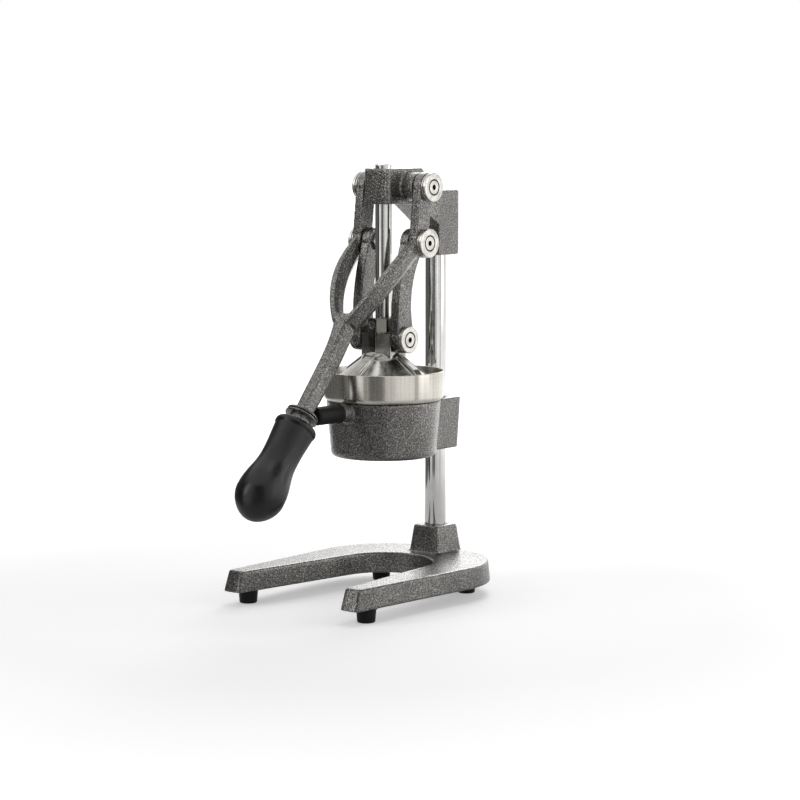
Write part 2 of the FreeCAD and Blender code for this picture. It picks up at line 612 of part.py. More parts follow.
def clamp_end(edge):
    """Level edges around the clamp's top and bottom, away from the arm."""
    box = edge.BoundBox
    level = box.ZMax - box.ZMin < 0.1
    bottom = abs(box.ZMax - size("dims.upper_clamp_bottom")) < 0.1
    rear = abs(box.ZMax - size("dims.upper_clamp_top")) < 0.1 and box.YMax > size(CLAMP_REAR) - 0.1
    return level and (bottom or rear)


# Set screws from the rear that lock both clamps on the column.
def clamp_screws():
    radius = "dims.set_screw_dia / 2"
    start = "(dims.column_offset + dims.column_dia / 2)"
    rear_at_screw = f"({BOWL_CLAMP_REAR} - dims.bowl_clamp_lean / 2)"
    for node, rear, z in (("upper_set_screw", CLAMP_REAR, UPPER_SCREW_Z),
                          ("bowl_set_screw", rear_at_screw, BOWL_SCREW_Z)):
        end = f"({rear} - dims.set_screw_sink)"
        turned_part(node, "Y", [
            (start, "0"),
            (start, f"{radius} - 1"),
            (f"{start} + 1", radius),
            (end, radius),
            (end, f"{radius} / 2"),
            (f"{end} - 3", f"{radius} / 2"),
            (f"{end} - 3", "0"),
        ], "0", z)


# Bushes that guide the rod at both ends of the block.
def guide_bushes():
    inner = "dims.rod_dia / 2 + dims.running_gap"
    for node, start in (("guide_bush_top", "(dims.block_top - dims.guide_bush_length)"),
                        ("guide_bush_bottom", "dims.block_bottom")):
        turned_part(node, "Z", tube(start, f"{start} + dims.guide_bush_length", inner, GUIDE_BORE))


# Bowl bracket: cast bowl, clamp and stop peg in one casting.
def bowl_bracket():
    body = new_body("bowl_bracket")
    wall = "dims.bowl_wall"
    turn(body, "bowl", "Z", [
        ("dims.bowl_bottom", "dims.outlet_radius"),
        ("dims.bowl_bottom", "dims.bowl_bottom_radius"),
        ("dims.bowl_top", "dims.bowl_top_radius"),
        ("dims.bowl_top", f"dims.bowl_top_radius - {wall}"),
        (BOWL_FLOOR_TOP, f"dims.bowl_bottom_radius - {wall}"),
        (BOWL_FLOOR_TOP, "dims.outlet_radius"),
    ])
    round_edges(body, "lower_edge", "dims.bowl_round",
                lambda edge: ring(edge, "z", "dims.bowl_bottom", "dims.bowl_bottom_radius"))
    start = "(dims.bowl_bottom_radius - 2)"
    side = [
        (start, "dims.bowl_bottom + dims.bowl_round"),
        (start + " + 6", "dims.bowl_bottom"),
        (BOWL_CLAMP_REAR + " - dims.bowl_clamp_lean", "dims.bowl_bottom"),
        (BOWL_CLAMP_REAR, "dims.bowl_clamp_top"),
        (start, "dims.bowl_clamp_top"),
    ]
    pad(body, "clamp", "YZ", f"-{CLAMP_HALF_WIDTH}", f"2 * {CLAMP_HALF_WIDTH}", side)

    def rear_corner(edge):
        way = direction(edge)
        return way is not None and abs(way.z) > 0.98 and edge.CenterOfMass.y > size(CLAMP_REAR) - 2

    round_edges(body, "clamp_corners", "dims.clamp_round", rear_corner)
    pad(body, "peg", "XZ", "dims.bowl_bottom_radius", "dims.peg_reach - dims.bowl_bottom_radius",
        ("0", "dims.peg_height", "dims.peg_dia / 2"))
    pocket(body, "column_bore", "XY", "dims.bowl_bottom - 1", "dims.bowl_clamp_top - dims.bowl_bottom + 2",
           ("0", "dims.column_offset", "dims.column_dia / 2"))
    pocket(body, "set_screw_bore", "XZ", f"-{BOWL_CLAMP_REAR} - 1", "dims.bowl_clamp_back + 1",
           ("0", BOWL_SCREW_Z, "dims.set_screw_dia / 2"))
    turn(body, "bowl_inside", "Z", [
        (BOWL_FLOOR_TOP, "0"),
        ("dims.bowl_top + 1", "0"),
        ("dims.bowl_top + 1", f"dims.bowl_top_radius - {wall}"),
        ("dims.bowl_top", f"dims.bowl_top_radius - {wall}"),
        (BOWL_FLOOR_TOP, f"dims.bowl_bottom_radius - {wall}"),
    ], "PartDesign::Groove")


# Rubber sleeve over the stop peg, where the lever comes to rest.
def stop_sleeve():
    outer, inner = "dims.sleeve_dia / 2", "dims.peg_dia / 2"
    body = turned_part("stop_sleeve", "Y", [
        ("-dims.sleeve_tip", "0"),
        ("-dims.sleeve_tip", outer),
        ("-dims.sleeve_start", outer),
        ("-dims.sleeve_start", inner),
        ("-dims.peg_reach", inner),
        ("-dims.peg_reach", "0"),
    ], "0", "dims.peg_height")
    round_edges(body, "ends", "dims.sleeve_round",
                lambda edge: edge.Curve.TypeId == "Part::GeomCircle"
                and abs(edge.Curve.Radius - size(outer)) < 0.05)


# Strainer pan: bright wall above the cast bowl, slotted well inside it.
def strainer_pan():
    body = new_body("strainer_pan")
    metal = "dims.sheet_metal"
    inner = f"(dims.pan_radius - {metal})"
    shelf = f"(dims.bowl_top + {metal})"
    well = f"({SUMP_RADIUS} - {metal})"
    turn(body, "shell", "Z", [
        (SUMP_FLOOR, "dims.reamer_screw_dia / 2"),
        (SUMP_FLOOR, SUMP_RADIUS),
        ("dims.bowl_top", SUMP_RADIUS),
        ("dims.bowl_top", "dims.pan_radius"),
        ("dims.pan_top", "dims.pan_radius"),
        ("dims.pan_top", inner),
        (shelf, inner),
        (shelf, well),
        (PAN_FLOOR_TOP, well),
        (PAN_FLOOR_TOP, "dims.reamer_screw_dia / 2"),
    ])
    round_edges(body, "outer_turn", "dims.pan_round",
                lambda edge: ring(edge, "z", "dims.bowl_top", "dims.pan_radius"))
    round_edges(body, "inner_turn", f"dims.pan_round - {metal}",
                lambda edge: ring(edge, "z", shelf, inner))
    half = "dims.slot_width / 2"
    slot = pocket(body, "slot", "XY", SUMP_FLOOR + " - 1", metal + " + 2", [
        ("dims.slot_inner", "-" + half),
        ("dims.slot_outer", "-" + half, half + " * 1.001", "counter"),
        ("dims.slot_outer", half),
        ("dims.slot_inner", half, half + " * 1.001", "counter"),
    ])
    slots = body.newObject("PartDesign::PolarPattern", "strainer_pan_slots")
    slots.Originals = [slot]
    planes = {feature.Role: feature for feature in body.Origin.OriginFeatures}
    slots.Axis = (planes["Z_Axis"], [""])
    slots.Angle = 360
    bind(slots, Occurrences="dims.slot_count")
    body.Tip = slots
    doc.recompute()


# Reamer: a ribbed dome with a rounded tip.
def reamer():
    body = new_body("reamer_cone")
    floor = PAN_FLOOR_TOP
    top = f"({floor} + dims.reamer_height)"
    brim = f"({floor} + dims.reamer_brim)"
    nose = "dims.reamer_nose"
    skin = "(dims.reamer_radius - 1.5)"
    side_z = f"({top} - {nose} * 0.55)"
    side_r = f"({nose} * 0.95)"
    turn(body, "dome", "Z", [
        (floor, "0"),
        (floor, "dims.reamer_radius"),
        (brim, "dims.reamer_radius"),
        (brim, skin, "dims.reamer_height * 1.55", "counter"),
        (side_z, side_r, nose + " * 1.15", "counter"),
        (top, "1.5"),
        (top, "0"),
    ])
    rise = "dims.reamer_rib_rise"
    rib = pad(body, "rib", "XZ", "-dims.reamer_rib_width / 2", "dims.reamer_rib_width", [
        ("2", floor + " + 1"),
        (skin, floor + " + 1"),
        (skin, brim, "dims.reamer_height * 1.75", "counter"),
        (f"{side_r} + {rise}", side_z),
        ("2", f"{top} - 1.2"),
    ])
    ribs = body.newObject("PartDesign::PolarPattern", "reamer_cone_ribs")
    ribs.Originals = [rib]
    planes = {feature.Role: feature for feature in body.Origin.OriginFeatures}
    ribs.Axis = (planes["Z_Axis"], [""])
    ribs.Angle = 360
    bind(ribs, Occurrences="dims.reamer_ribs")
    body.Tip = ribs
    doc.recompute()
    thread = "dims.reamer_screw_dia / 2"
    turn(body, "thread", "Z", tube(floor + " - 1", floor + " + 12", "0", thread), "PartDesign::Groove")
    head = "dims.reamer_screw_dia"
    turned_part("reamer_screw", "Z", [
        (SUMP_FLOOR + " - 3.5", "0"),
        (floor + " + 11.5", "0"),
        (floor + " + 11.5", thread),
        (SUMP_FLOOR, thread),
        (SUMP_FLOOR, head),
        (SUMP_FLOOR + " - 2.5", head),
        (SUMP_FLOOR + " - 3.5", head + " - 1.2"),
    ])


# Funnel in the cast bowl that leads the juice to the outlet.
def drip_funnel():
    metal = "dims.funnel_metal"
    spout = "(dims.outlet_radius - dims.spout_gap)"
    turned_part("drip_funnel", "Z", [
        ("dims.spout_end", f"{spout} - {metal}"),
        ("dims.spout_end", spout),
        (BOWL_FLOOR_TOP, spout),
        (BOWL_FLOOR_TOP, "dims.funnel_seat_radius"),
        ("dims.funnel_rim_z", "dims.funnel_rim_radius"),
        ("dims.funnel_rim_z", f"dims.funnel_rim_radius - {metal} * 1.25"),
        (f"{BOWL_FLOOR_TOP} + {metal}", f"dims.funnel_seat_radius - {metal} * 0.6"),
        (f"{BOWL_FLOOR_TOP} + {metal}", f"{spout} - {metal}"),
    ])


# Press head: neck, cheeks and a flared, ribbed cup that comes down over the reamer.
def press_head():
    body = new_body("press_head")
    roof = "dims.head_waist - 2"

    def octagon(half, side_half):
        face, front = "dims.head_face_half", "dims.head_front"
        return [(face, "-" + front), (half, "-" + side_half), (half, side_half), (face, front),
                ("-" + face, front), ("-" + half, side_half), ("-" + half, "-" + side_half),
                ("-" + face, "-" + front)]

    pad(body, "neck", "XY", roof, f"dims.head_top - ({roof})",
        octagon("dims.neck_half", "dims.neck_side_half"))
    pad(body, "cheeks", "XY", roof, f"dims.head_shoulder - ({roof})",
        octagon("dims.cheek_half", "dims.cheek_side_half"))
    turn(body, "cup", "Z", [
        ("dims.skirt_bottom", "0"),
        ("dims.skirt_bottom", "dims.flare_end"),
        ("dims.flare_rim_z", "dims.flare_end"),
        ("dims.flare_knee_z", "dims.flare_knee"),
        ("dims.head_waist", "dims.flare_start"),
        ("dims.head_root", "dims.root_radius"),
        ("dims.head_root", "0"),
    ])
    rise, half = "dims.head_rib_rise", "dims.head_rib_width / 2"
    rib = [
        ("-dims.flare_end", "dims.flare_rim_z - 4"),
        ("dims.flare_end", "dims.flare_rim_z - 4"),
        ("dims.flare_end", "dims.flare_rim_z"),
        ("dims.flare_knee", f"dims.flare_knee_z + {rise}"),
        ("dims.flare_start", f"dims.head_waist + {rise}"),
        ("-dims.flare_start", f"dims.head_waist + {rise}"),
        ("-dims.flare_knee", f"dims.flare_knee_z + {rise}"),
        ("-dims.flare_end", "dims.flare_rim_z"),
    ]
    pad(body, "cross_ribs", "XZ", "-" + half, "dims.head_rib_width", rib)
    pad(body, "long_ribs", "YZ", "-" + half, "dims.head_rib_width", rib)
    turn(body, "cavity", "Z", [
        ("dims.skirt_bottom - 1", "0"),
        ("dims.skirt_bottom - 1", "dims.flare_end - dims.skirt_wall"),
        ("dims.flare_rim_z - dims.skirt_wall", "dims.flare_end - dims.skirt_wall"),
        ("dims.cavity_roof_z", "dims.cavity_roof_radius"),
        ("dims.cavity_roof_z", "0"),
    ], "PartDesign::Groove")
    pocket(body, "rod_socket", "XY", "dims.rod_socket_floor", "dims.head_top - dims.rod_socket_floor + 1",
           ("0", "0", "dims.rod_dia / 2"))
    pocket(body, "screw_hole", "XZ", "0", "dims.head_front + 1",
           ("0", "dims.head_screw_z", "dims.head_screw_dia / 2"))
    depth = "(dims.cheek_half - dims.foot_thread_end + 1)"
    for side, start in (("left", "-dims.cheek_half - 1"), ("right", "dims.foot_thread_end")):
        pocket(body, f"{side}_thread", "YZ", start, depth, ("0", PIVOT_C_Z, "dims.thread_dia / 2"))


# Guide rod and the set screw that locks it in the head.
def guide_rod():
    radius = "dims.rod_dia / 2"
    turned_part("guide_rod", "Z", [
        ("dims.rod_socket_floor", "0"),
        ("dims.rod_top", "0"),
        ("dims.rod_top", f"{radius} - 1.2"),
        ("dims.rod_top - 1.2", radius),
        ("dims.rod_socket_floor + 1.2", radius),
        ("dims.rod_socket_floor", f"{radius} - 1.2"),
    ])
    screw = "dims.head_screw_dia / 2"
    tip = f"(-{radius})"
    end = "(1 - dims.head_front)"
    turned_part("rod_set_screw", "Y", [
        (tip, "0"),
        (tip, screw),
        (end, screw),
        (end, screw + " / 2"),
        (f"{end} + 2.5", screw + " / 2"),
        (f"{end} + 2.5", "0"),
    ], "0", "dims.head_screw_z")


# Lever casting. Its body's own axes: Z runs from the link pivot down the lever, Y forward and up.
PIVOT_A_IN_LEVER_Y = "(dims.crank_length * sin(dims.lever_angle - dims.crank_angle))"
PIVOT_A_IN_LEVER_Z = "(-dims.crank_length * cos(dims.lever_angle - dims.crank_angle))"


def lever_body(node):
    return new_body(node, PIVOT_B_Y, PIVOT_B_Z, "180 - dims.lever_angle")


def fork_half_gap(along):
    """Middle of a fork arm from the middle plane, at a distance along the lever."""
    middle = "(dims.eye_inner + dims.eye_thick / 2)"
    return f"{middle} * (1 - (({along}) / dims.fork_length) ^ dims.fork_power)"


def fork_rise(along):
    """How far a fork arm stands forward of the lever's axis."""
    return f"dims.fork_bow * sin(180 * (({along}) + 15) / (dims.fork_length + 32))"


def section(body, name, along, x, y, width, depth, cut):
    """A section across the lever: a rectangle with a share cut off each corner."""
    sketch = new_sketch(body, f"{body.Name}_{name}", "XY", along)
    full, short = "0.5", f"(0.5 - {cut})"
    way_round = ((full, f"-{short}"), (full, short), (short, full), (f"-{short}", full),
                 (f"-{full}", short), (f"-{full}", f"-{short}"), (f"-{short}", f"-{full}"),
                 (short, f"-{full}"))
    draw(sketch, [(f"{x} + ({width}) * ({across})", f"{y} + ({depth}) * ({deep})")
                  for across, deep in way_round])
    return sketch


def loft(body, name, sections):
    feature = body.newObject("PartDesign::AdditiveLoft", f"{body.Name}_{name}")
    feature.Profile = sections[0]
    feature.Sections = sections[1:]
    doc.recompute()
    return feature


def lever_yoke():
    body = lever_body("lever_yoke")
    a_y, a_z = PIVOT_A_IN_LEVER_Y, PIVOT_A_IN_LEVER_Z
    for side, sign, inner in (("left", "-", f"-{EYE_OUTER}"), ("right", "", "dims.eye_inner")):
        pad(body, f"{side}_eye_a", "YZ", inner, "dims.eye_thick", (a_y, a_z, "dims.eye_dia / 2"))
        pad(body, f"{side}_eye_b", "YZ", inner, "dims.eye_thick", ("0", "0", "dims.eye_dia / 2"))
        run = "(dims.lever_angle - dims.crank_angle)"
        dy, dz = f"dims.crank_web / 2 * cos{run}", f"dims.crank_web / 2 * sin{run}"
        pad(body, f"{side}_web", "YZ", inner, "dims.eye_thick", [
            (f"-{dy}", f"-{dz}"),
            (dy, dz),
            (f"{a_y} + {dy}", f"{a_z} + {dz}"),
            (f"{a_y} - {dy}", f"{a_z} - {dz}"),
        ])
        stations = (("2", "dims.arm_root_width"), ("dims.fork_length * 0.22", "dims.arm_root_width"),
                    ("dims.fork_length * 0.44", "dims.arm_width"),
                    ("dims.fork_length * 0.64", "dims.arm_width"),
                    ("dims.fork_length * 0.8", "dims.arm_width"),
                    ("dims.fork_length * 0.93", "dims.arm_width"))
        loft(body, f"{side}_arm", [
            section(body, f"{side}_arm_section_{number}", along, f"{sign}{fork_half_gap(along)}",
                    fork_rise(along), width, "dims.arm_depth", "dims.arm_round")
            for number, (along, width) in enumerate(stations)])
    stations = (("dims.fork_length * 0.86", fork_rise("dims.fork_length * 0.86"),
                 "dims.bar_width * 1.75", "dims.arm_depth"),
                ("dims.fork_length * 1.08", fork_rise("dims.fork_length * 1.08"),
                 "dims.bar_width * 1.15", "dims.bar_depth"),
                ("dims.fork_length * 1.3", "0", "dims.bar_width", "dims.bar_depth"),
                ("dims.collar_at", "0", "dims.bar_end_width", "dims.bar_end_depth"))
    loft(body, "bar", [
        section(body, f"bar_section_{number}", along, "0", rise, width, depth, "dims.bar_round")
        for number, (along, rise, width, depth) in enumerate(stations)])
    start = "(dims.collar_at - dims.collar_thick / 2)"
    end = "(dims.collar_at + dims.collar_thick / 2)"
    turn(body, "collar", "Z", [
        (start, "0"),
        (start, "dims.collar_dia / 2"),
        (end, "dims.collar_dia / 2"),
        (end, "dims.lever_neck_dia / 2"),
        ("dims.grip_start", "dims.lever_neck_dia / 2"),
        ("dims.grip_start", "dims.tang_dia / 2"),
        ("dims.grip_start + dims.tang_length", "dims.tang_dia / 2"),
        ("dims.grip_start + dims.tang_length", "0"),
    ])
    round_edges(body, "collar_rims", "dims.collar_thick * 0.4",
                lambda edge: edge.Curve.TypeId == "Part::GeomCircle"
                and abs(edge.Curve.Radius - size("dims.collar_dia / 2")) < 0.05)
    reach = f"({EYE_OUTER} + 2)"
    pocket(body, "bore_a", "YZ", f"-{reach}", f"2 * {reach}", (a_y, a_z, PIVOT_BORE))
    pocket(body, "bore_b", "YZ", f"-{reach}", f"2 * {reach}", ("0", "0", "dims.shoulder_dia / 2"))


# Grip with its threaded insert, on the lever's tang.
def grip():
    body = lever_body("grip")
    insert = "(dims.grip_start + dims.tang_length - dims.insert_length)"
    tang_end = "(dims.grip_start + dims.tang_length)"
    turn(body, "profile", "Z", [
        ("dims.grip_start", "dims.tang_dia / 2"),
        ("dims.grip_start", "dims.grip_mouth_radius"),
        ("dims.grip_start + 1.5", "dims.grip_mouth_radius + 2.6", "10", "clockwise"),
        ("dims.grip_flare_at", "dims.grip_flare_radius"),
        ("dims.grip_flare_at + 3", "dims.grip_flare_radius - 1", "90", "counter"),
        ("dims.grip_waist_at", "dims.grip_waist_radius", "130", "counter"),
        ("dims.grip_bulb_at - 6", "dims.grip_bulb_radius - 0.6", "24", "clockwise"),
        ("dims.grip_end - 9", "dims.grip_bulb_radius * 0.72", "22", "clockwise"),
        ("dims.grip_end", "2"),
        ("dims.grip_end", "0"),
        (tang_end, "0"),
        (tang_end, "dims.insert_dia / 2"),
        (insert, "dims.insert_dia / 2"),
        (insert, "dims.tang_dia / 2"),
    ])
    piece = lever_body("grip_insert")
    turn(piece, "profile", "Z", tube(insert, tang_end, "dims.tang_dia / 2", "dims.insert_dia / 2"))


# Curved links between the lever and the press head. Own axes: -Z runs to the lower eye.
def links():
    for side, inner in (("left", f"-{LINK_OUTER}"), ("right", "dims.link_inner")):
        body = new_body(f"link_{side}", PIVOT_B_Y, PIVOT_B_Z, f"-{LINK_LEAN}")
        top, foot = "dims.link_top_dia / 2", "dims.link_foot_dia / 2"
        top_edge, foot_edge = f"({top} - 0.5)", f"({foot} - 0.5)"
        pad(body, "upper_eye", "YZ", inner, "dims.link_thick", ("0", "0", top))
        pad(body, "lower_eye", "YZ", inner, "dims.link_thick", ("0", "-dims.link_length", foot))
        pad(body, "web", "YZ", inner, "dims.link_thick", [
            (f"-{top_edge}", "-3"),
            (top_edge, "-3", "dims.link_rear_radius", "counter"),
            (foot_edge, "3 - dims.link_length"),
            (f"-{foot_edge}", "3 - dims.link_length", "dims.link_front_radius", "clockwise"),
        ])
        reach = f"({LINK_OUTER} + 2)"
        pocket(body, "upper_bore", "YZ", f"-{reach}", f"2 * {reach}", ("0", "0", "dims.shoulder_dia / 2"))
        pocket(body, "lower_bore", "YZ", f"-{reach}", f"2 * {reach}",
               ("0", "-dims.link_length", PIVOT_BORE))


def bolt_profile(face, thick, head_dia, shoulder_end, thread_end):
    """Pivot bolt along +X: grooved disc head, shoulder and thread."""
    outer = f"({face} + {thick})"
    head, shoulder, thread = f"{head_dia} / 2", "dims.shoulder_dia / 2", "dims.thread_dia / 2"
    corners = [(thread_end, "0")]
    if thread_end != shoulder_end:
        corners += [(thread_end, thread), (shoulder_end, thread)]
    corners += [
        (shoulder_end, shoulder),
        (face, shoulder),
        (face, head),
        (f"{outer} - dims.bolt_edge", head),
        (outer, f"{head} - dims.bolt_edge"),
        (outer, "dims.groove_outer"),
        (f"{outer} - dims.groove_depth", "dims.groove_outer"),
        (f"{outer} - dims.groove_depth", "dims.groove_inner"),
        (outer, "dims.groove_inner"),
        (outer, "dims.socket_radius"),
        (f"{outer} - dims.socket_depth", "dims.socket_radius"),
        (f"{outer} - dims.socket_depth", "0"),
    ]
    return corners


def mirrored(corners, sign):
    """The same profile on the other side of the middle plane."""
    if sign > 0:
        return corners
    swap = {"counter": "clockwise", "clockwise": "counter"}
    return [(f"-({c[0]})", c[1]) + ((c[2], swap[c[3]]) if len(c) > 2 else ()) for c in corners]


# Pivot bolts, bushes, pins and nuts, left and right. The pivot between lever and link is open: the
# middle bolts end just outside the links, and a pin of the same diameter fills each link's eye.
def pivots():
    flange = "dims.flange_dia / 2"
    hole = "dims.shoulder_dia / 2 + dims.running_gap"
    for side, sign in (("left", -1), ("right", 1)):
        place_a = ("dims.pivot_a_y", "dims.pivot_a_z")
        place_b = (PIVOT_B_Y, PIVOT_B_Z)
        place_c = ("0", PIVOT_C_Z)
        turned_part(f"bolt_top_{side}", "X", mirrored(bolt_profile(
            BOLT_FACE, "dims.bolt_head_thick", "dims.bolt_head_dia", "dims.boss_end",
            "dims.thread_end"), sign), *place_a)
        turned_part(f"bush_top_{side}", "X", mirrored([
            ("dims.eye_inner - dims.flange_thick", hole),
            ("dims.eye_inner - dims.flange_thick", flange),
            ("dims.eye_inner", flange),
            ("dims.eye_inner", PIVOT_BORE),
            (EYE_OUTER, PIVOT_BORE),
            (EYE_OUTER, hole),
        ], sign), *place_a)
        turned_part(f"bolt_middle_{side}", "X", mirrored(bolt_profile(
            BOLT_FACE, "dims.bolt_head_thick", "dims.bolt_head_dia", OPEN_END, OPEN_END), sign), *place_b)
        nut_face = "(dims.link_inner - dims.side_gap)"
        shoulder, thread = "dims.shoulder_dia / 2", "dims.thread_dia / 2"
        turned_part(f"pin_middle_{side}", "X", mirrored([
            (f"{nut_face} - dims.nut_thick", "0"),
            (f"{nut_face} - dims.nut_thick", thread),
            (nut_face, thread),
            (nut_face, shoulder),
            (LINK_OUTER, shoulder),
            (LINK_OUTER, "0"),
        ], sign), *place_b)
        nut = new_body(f"nut_middle_{side}", *place_b)
        start = f"-{nut_face}" if sign < 0 else f"{nut_face} - dims.nut_thick"
        pad(nut, "hex", "YZ", start, "dims.nut_thick", hexagon("dims.nut_flats"))
        pocket(nut, "bore", "YZ", f"{start} - 1", "dims.nut_thick + 2", ("0", "0", thread))
        turned_part(f"bush_lower_{side}", "X", mirrored([
            ("dims.link_inner - dims.flange_thick", hole),
            ("dims.link_inner - dims.flange_thick", flange),
            ("dims.link_inner", flange),
            ("dims.link_inner", PIVOT_BORE),
            (LINK_OUTER, PIVOT_BORE),
            (LINK_OUTER, hole),
        ], sign), *place_c)
        turned_part(f"bolt_lower_{side}", "X", mirrored(bolt_profile(
            f"({LINK_OUTER} + dims.side_gap)", "dims.foot_bolt_head_thick", "dims.foot_bolt_head_dia",
            "dims.cheek_half", "dims.foot_thread_end"), sign), *place_c)


for build in (base_casting, feet, column_group, upper_bracket, clamp_screws, guide_bushes, bowl_bracket,
              stop_sleeve, strainer_pan, reamer, drip_funnel, press_head, guide_rod, lever_yoke, grip,
              links, pivots):
    build()
doc.recompute()

# The origin lies on the floor under the middle of the footprint.
boxes = [body.Shape.optimalBoundingBox() for body in SUBPARTS]
press_axis = -(min(box.YMin for box in boxes) + max(box.YMax for box in boxes)) / 2
sheet.set(sheet.getCellFromAlias("press_axis_y"), str(round(press_axis, 3)))
for body in SUBPARTS:
    body.touch()
doc.recompute()

for item in doc.Objects:
    if "Invalid" in item.State or "Error" in item.State:
        raise RuntimeError(f"{item.Name} failed: {item.State}")
for body in SUBPARTS:
    if body.Shape.isNull() or not body.Shape.isValid() or not body.Shape.Solids:
        raise RuntimeError(f"{body.Label} has no valid solid")
    places = dict(body.ExpressionEngine)
    if abs(body.Placement.Base.y - size(places[".Placement.Base.y"])) > 1e-6:
        raise RuntimeError(f"{body.Label} is not in its place")

os.makedirs("parts", exist_ok=True)
total = 0.0
for body in SUBPARTS:
    body.Shape.exportStep(f"parts/{body.Label}.step")
    box = body.Shape.optimalBoundingBox()
    total += body.Shape.Volume
    print(f"{body.Label:24s} {len(body.Shape.Solids)} solid {body.Shape.Volume / 1000:8.2f} cm3 "
          f"x {box.XMin:7.1f} {box.XMax:7.1f} y {box.YMin:7.1f} {box.YMax:7.1f} "
          f"z {box.ZMin:6.1f} {box.ZMax:6.1f}")
print(f"{len(SUBPARTS)} sub-parts, {total / 1000:.1f} cm3, press axis y {size('dims.press_axis_y'):.3f}")
print(f"pivot A y {size('dims.press_axis_y + dims.pivot_a_y'):.4f} z {size('dims.pivot_a_z'):.4f}")
print(f"pivot B y {size('dims.press_axis_y + ' + PIVOT_B_Y):.4f} z {size(PIVOT_B_Z):.4f}")
print(f"pivot C y {size('dims.press_axis_y'):.4f} z {size(PIVOT_C_Z):.4f}")
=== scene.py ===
"""Looks of a hand lever citrus press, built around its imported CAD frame.

The cast pieces are softened copies of the frame's own solids, with the rounded edges that sand
casting and thick paint give. The turned pieces are spun from profiles. Sizes are in millimetres
until a shape is placed, and every shape ends in the row frame in metres.
"""

import json
import logging
import math
from dataclasses import dataclass, field
from enum import Enum
from typing import Callable, Iterable, Mapping, Optional, Sequence, Union

import bmesh
import bpy
from mathutils import Matrix, Vector
from mathutils.geometry import interpolate_bezier

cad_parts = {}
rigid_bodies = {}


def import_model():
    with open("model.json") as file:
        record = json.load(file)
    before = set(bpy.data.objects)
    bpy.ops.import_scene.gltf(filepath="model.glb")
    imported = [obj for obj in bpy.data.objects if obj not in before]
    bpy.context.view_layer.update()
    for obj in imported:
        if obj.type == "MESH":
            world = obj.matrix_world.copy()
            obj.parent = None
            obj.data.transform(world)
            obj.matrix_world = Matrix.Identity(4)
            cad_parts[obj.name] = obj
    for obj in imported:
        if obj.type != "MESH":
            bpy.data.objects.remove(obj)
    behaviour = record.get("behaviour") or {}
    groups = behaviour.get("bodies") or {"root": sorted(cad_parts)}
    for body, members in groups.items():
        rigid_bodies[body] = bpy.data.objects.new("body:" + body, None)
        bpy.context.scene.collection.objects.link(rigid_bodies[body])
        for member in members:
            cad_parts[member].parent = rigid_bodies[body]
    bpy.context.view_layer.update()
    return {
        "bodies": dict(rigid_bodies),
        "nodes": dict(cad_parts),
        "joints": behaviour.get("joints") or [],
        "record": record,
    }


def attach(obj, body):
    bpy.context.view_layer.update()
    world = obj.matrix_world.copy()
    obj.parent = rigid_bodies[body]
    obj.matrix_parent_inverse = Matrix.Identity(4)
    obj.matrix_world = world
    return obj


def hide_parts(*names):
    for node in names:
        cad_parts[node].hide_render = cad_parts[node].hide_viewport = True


LOG = logging.getLogger("citrus_press")
MM = 0.001
CAST_CREASE = 80.0
RANGE = ("From Min", "From Max", "To Min", "To Max")

Shape = bmesh.types.BMesh
Tree = bpy.types.NodeTree
Socket = bpy.types.NodeSocket
Pair = tuple[float, float]
Triple = tuple[float, float, float]
Range = tuple[float, float, float, float]
Stops = tuple[tuple[float, str], ...]
Corner = Union[Pair, Triple]
Settings = Mapping[Union[str, int], object]
Links = Mapping[Union[str, int], Union[bpy.types.Node, Socket]]


# ---------------------------------------------------------------- names and places


class Body(Enum):
    """Bodies of the frame that a piece can ride on."""

    STAND = "stand"
    LEVER = "lever"
    LEFT_LINK = "left_link"
    RIGHT_LINK = "right_link"
    HEAD = "head"


class Slot(Enum):
    """Material slots of the record."""

    HAMMERED = "hammered_paint"
    PLAIN_STEEL = "plain_steel"
    RUBBER = "black_rubber"
    CHROME = "polished_steel"
    TURNED = "turned_steel"
    BRUSHED = "brushed_steel"
    ALUMINIUM = "cast_aluminium"
    BRONZE = "bronze"
    GRIP = "black_grip"


class Side(Enum):
    """Left or right of the middle plane."""

    LEFT = -1
    RIGHT = 1

    @property
    def word(self) -> str:
        """The side's name as the frame's nodes spell it."""
        return self.name.lower()


def turn(degrees: float, axis: str) -> Matrix:
    """A rotation about one axis."""
    return Matrix.Rotation(math.radians(degrees), 4, axis)


@dataclass(frozen=True)
class Linkage:
    """Places of the press axis, the column and the three pivots, at rest, in millimetres."""

    press_y: float = 46.643
    column_offset: float = 76.0
    pivot_a: Pair = (66.343, 378.0)
    pivot_b: Pair = (60.5696, 327.3278)
    pivot_c: Pair = (46.643, 239.4242)
    lever_turn: float = 139.8

    def upright(self, y: float = 0.0, z: float = 0.0) -> Matrix:
        """Frame whose Z stands on the press axis, moved by y and z."""
        return Matrix.Translation((0.0, self.press_y + y, z))

    def across(self, pivot: Pair, side: Side) -> Matrix:
        """Frame whose Z runs outward through a pivot on one side."""
        return Matrix.Translation((0.0, *pivot)) @ turn(90 * side.value, "Y")

    def along_crank(self) -> Matrix:
        """Frame whose Z runs from the link pivot up to the post pivot, with Y rearward."""
        rise, lean = self.pivot_a[1] - self.pivot_b[1], self.pivot_a[0] - self.pivot_b[0]
        lay = Matrix.Rotation(-math.atan2(lean, rise), 4, "X")
        return Matrix.Translation((0.0, *self.pivot_b)) @ lay

    def along_lever(self) -> Matrix:
        """Frame whose Z runs down the lever from the link pivot."""
        return Matrix.Translation((0.0, *self.pivot_b)) @ turn(self.lever_turn, "X")


LINKAGE = Linkage()


# ---------------------------------------------------------------- shapes


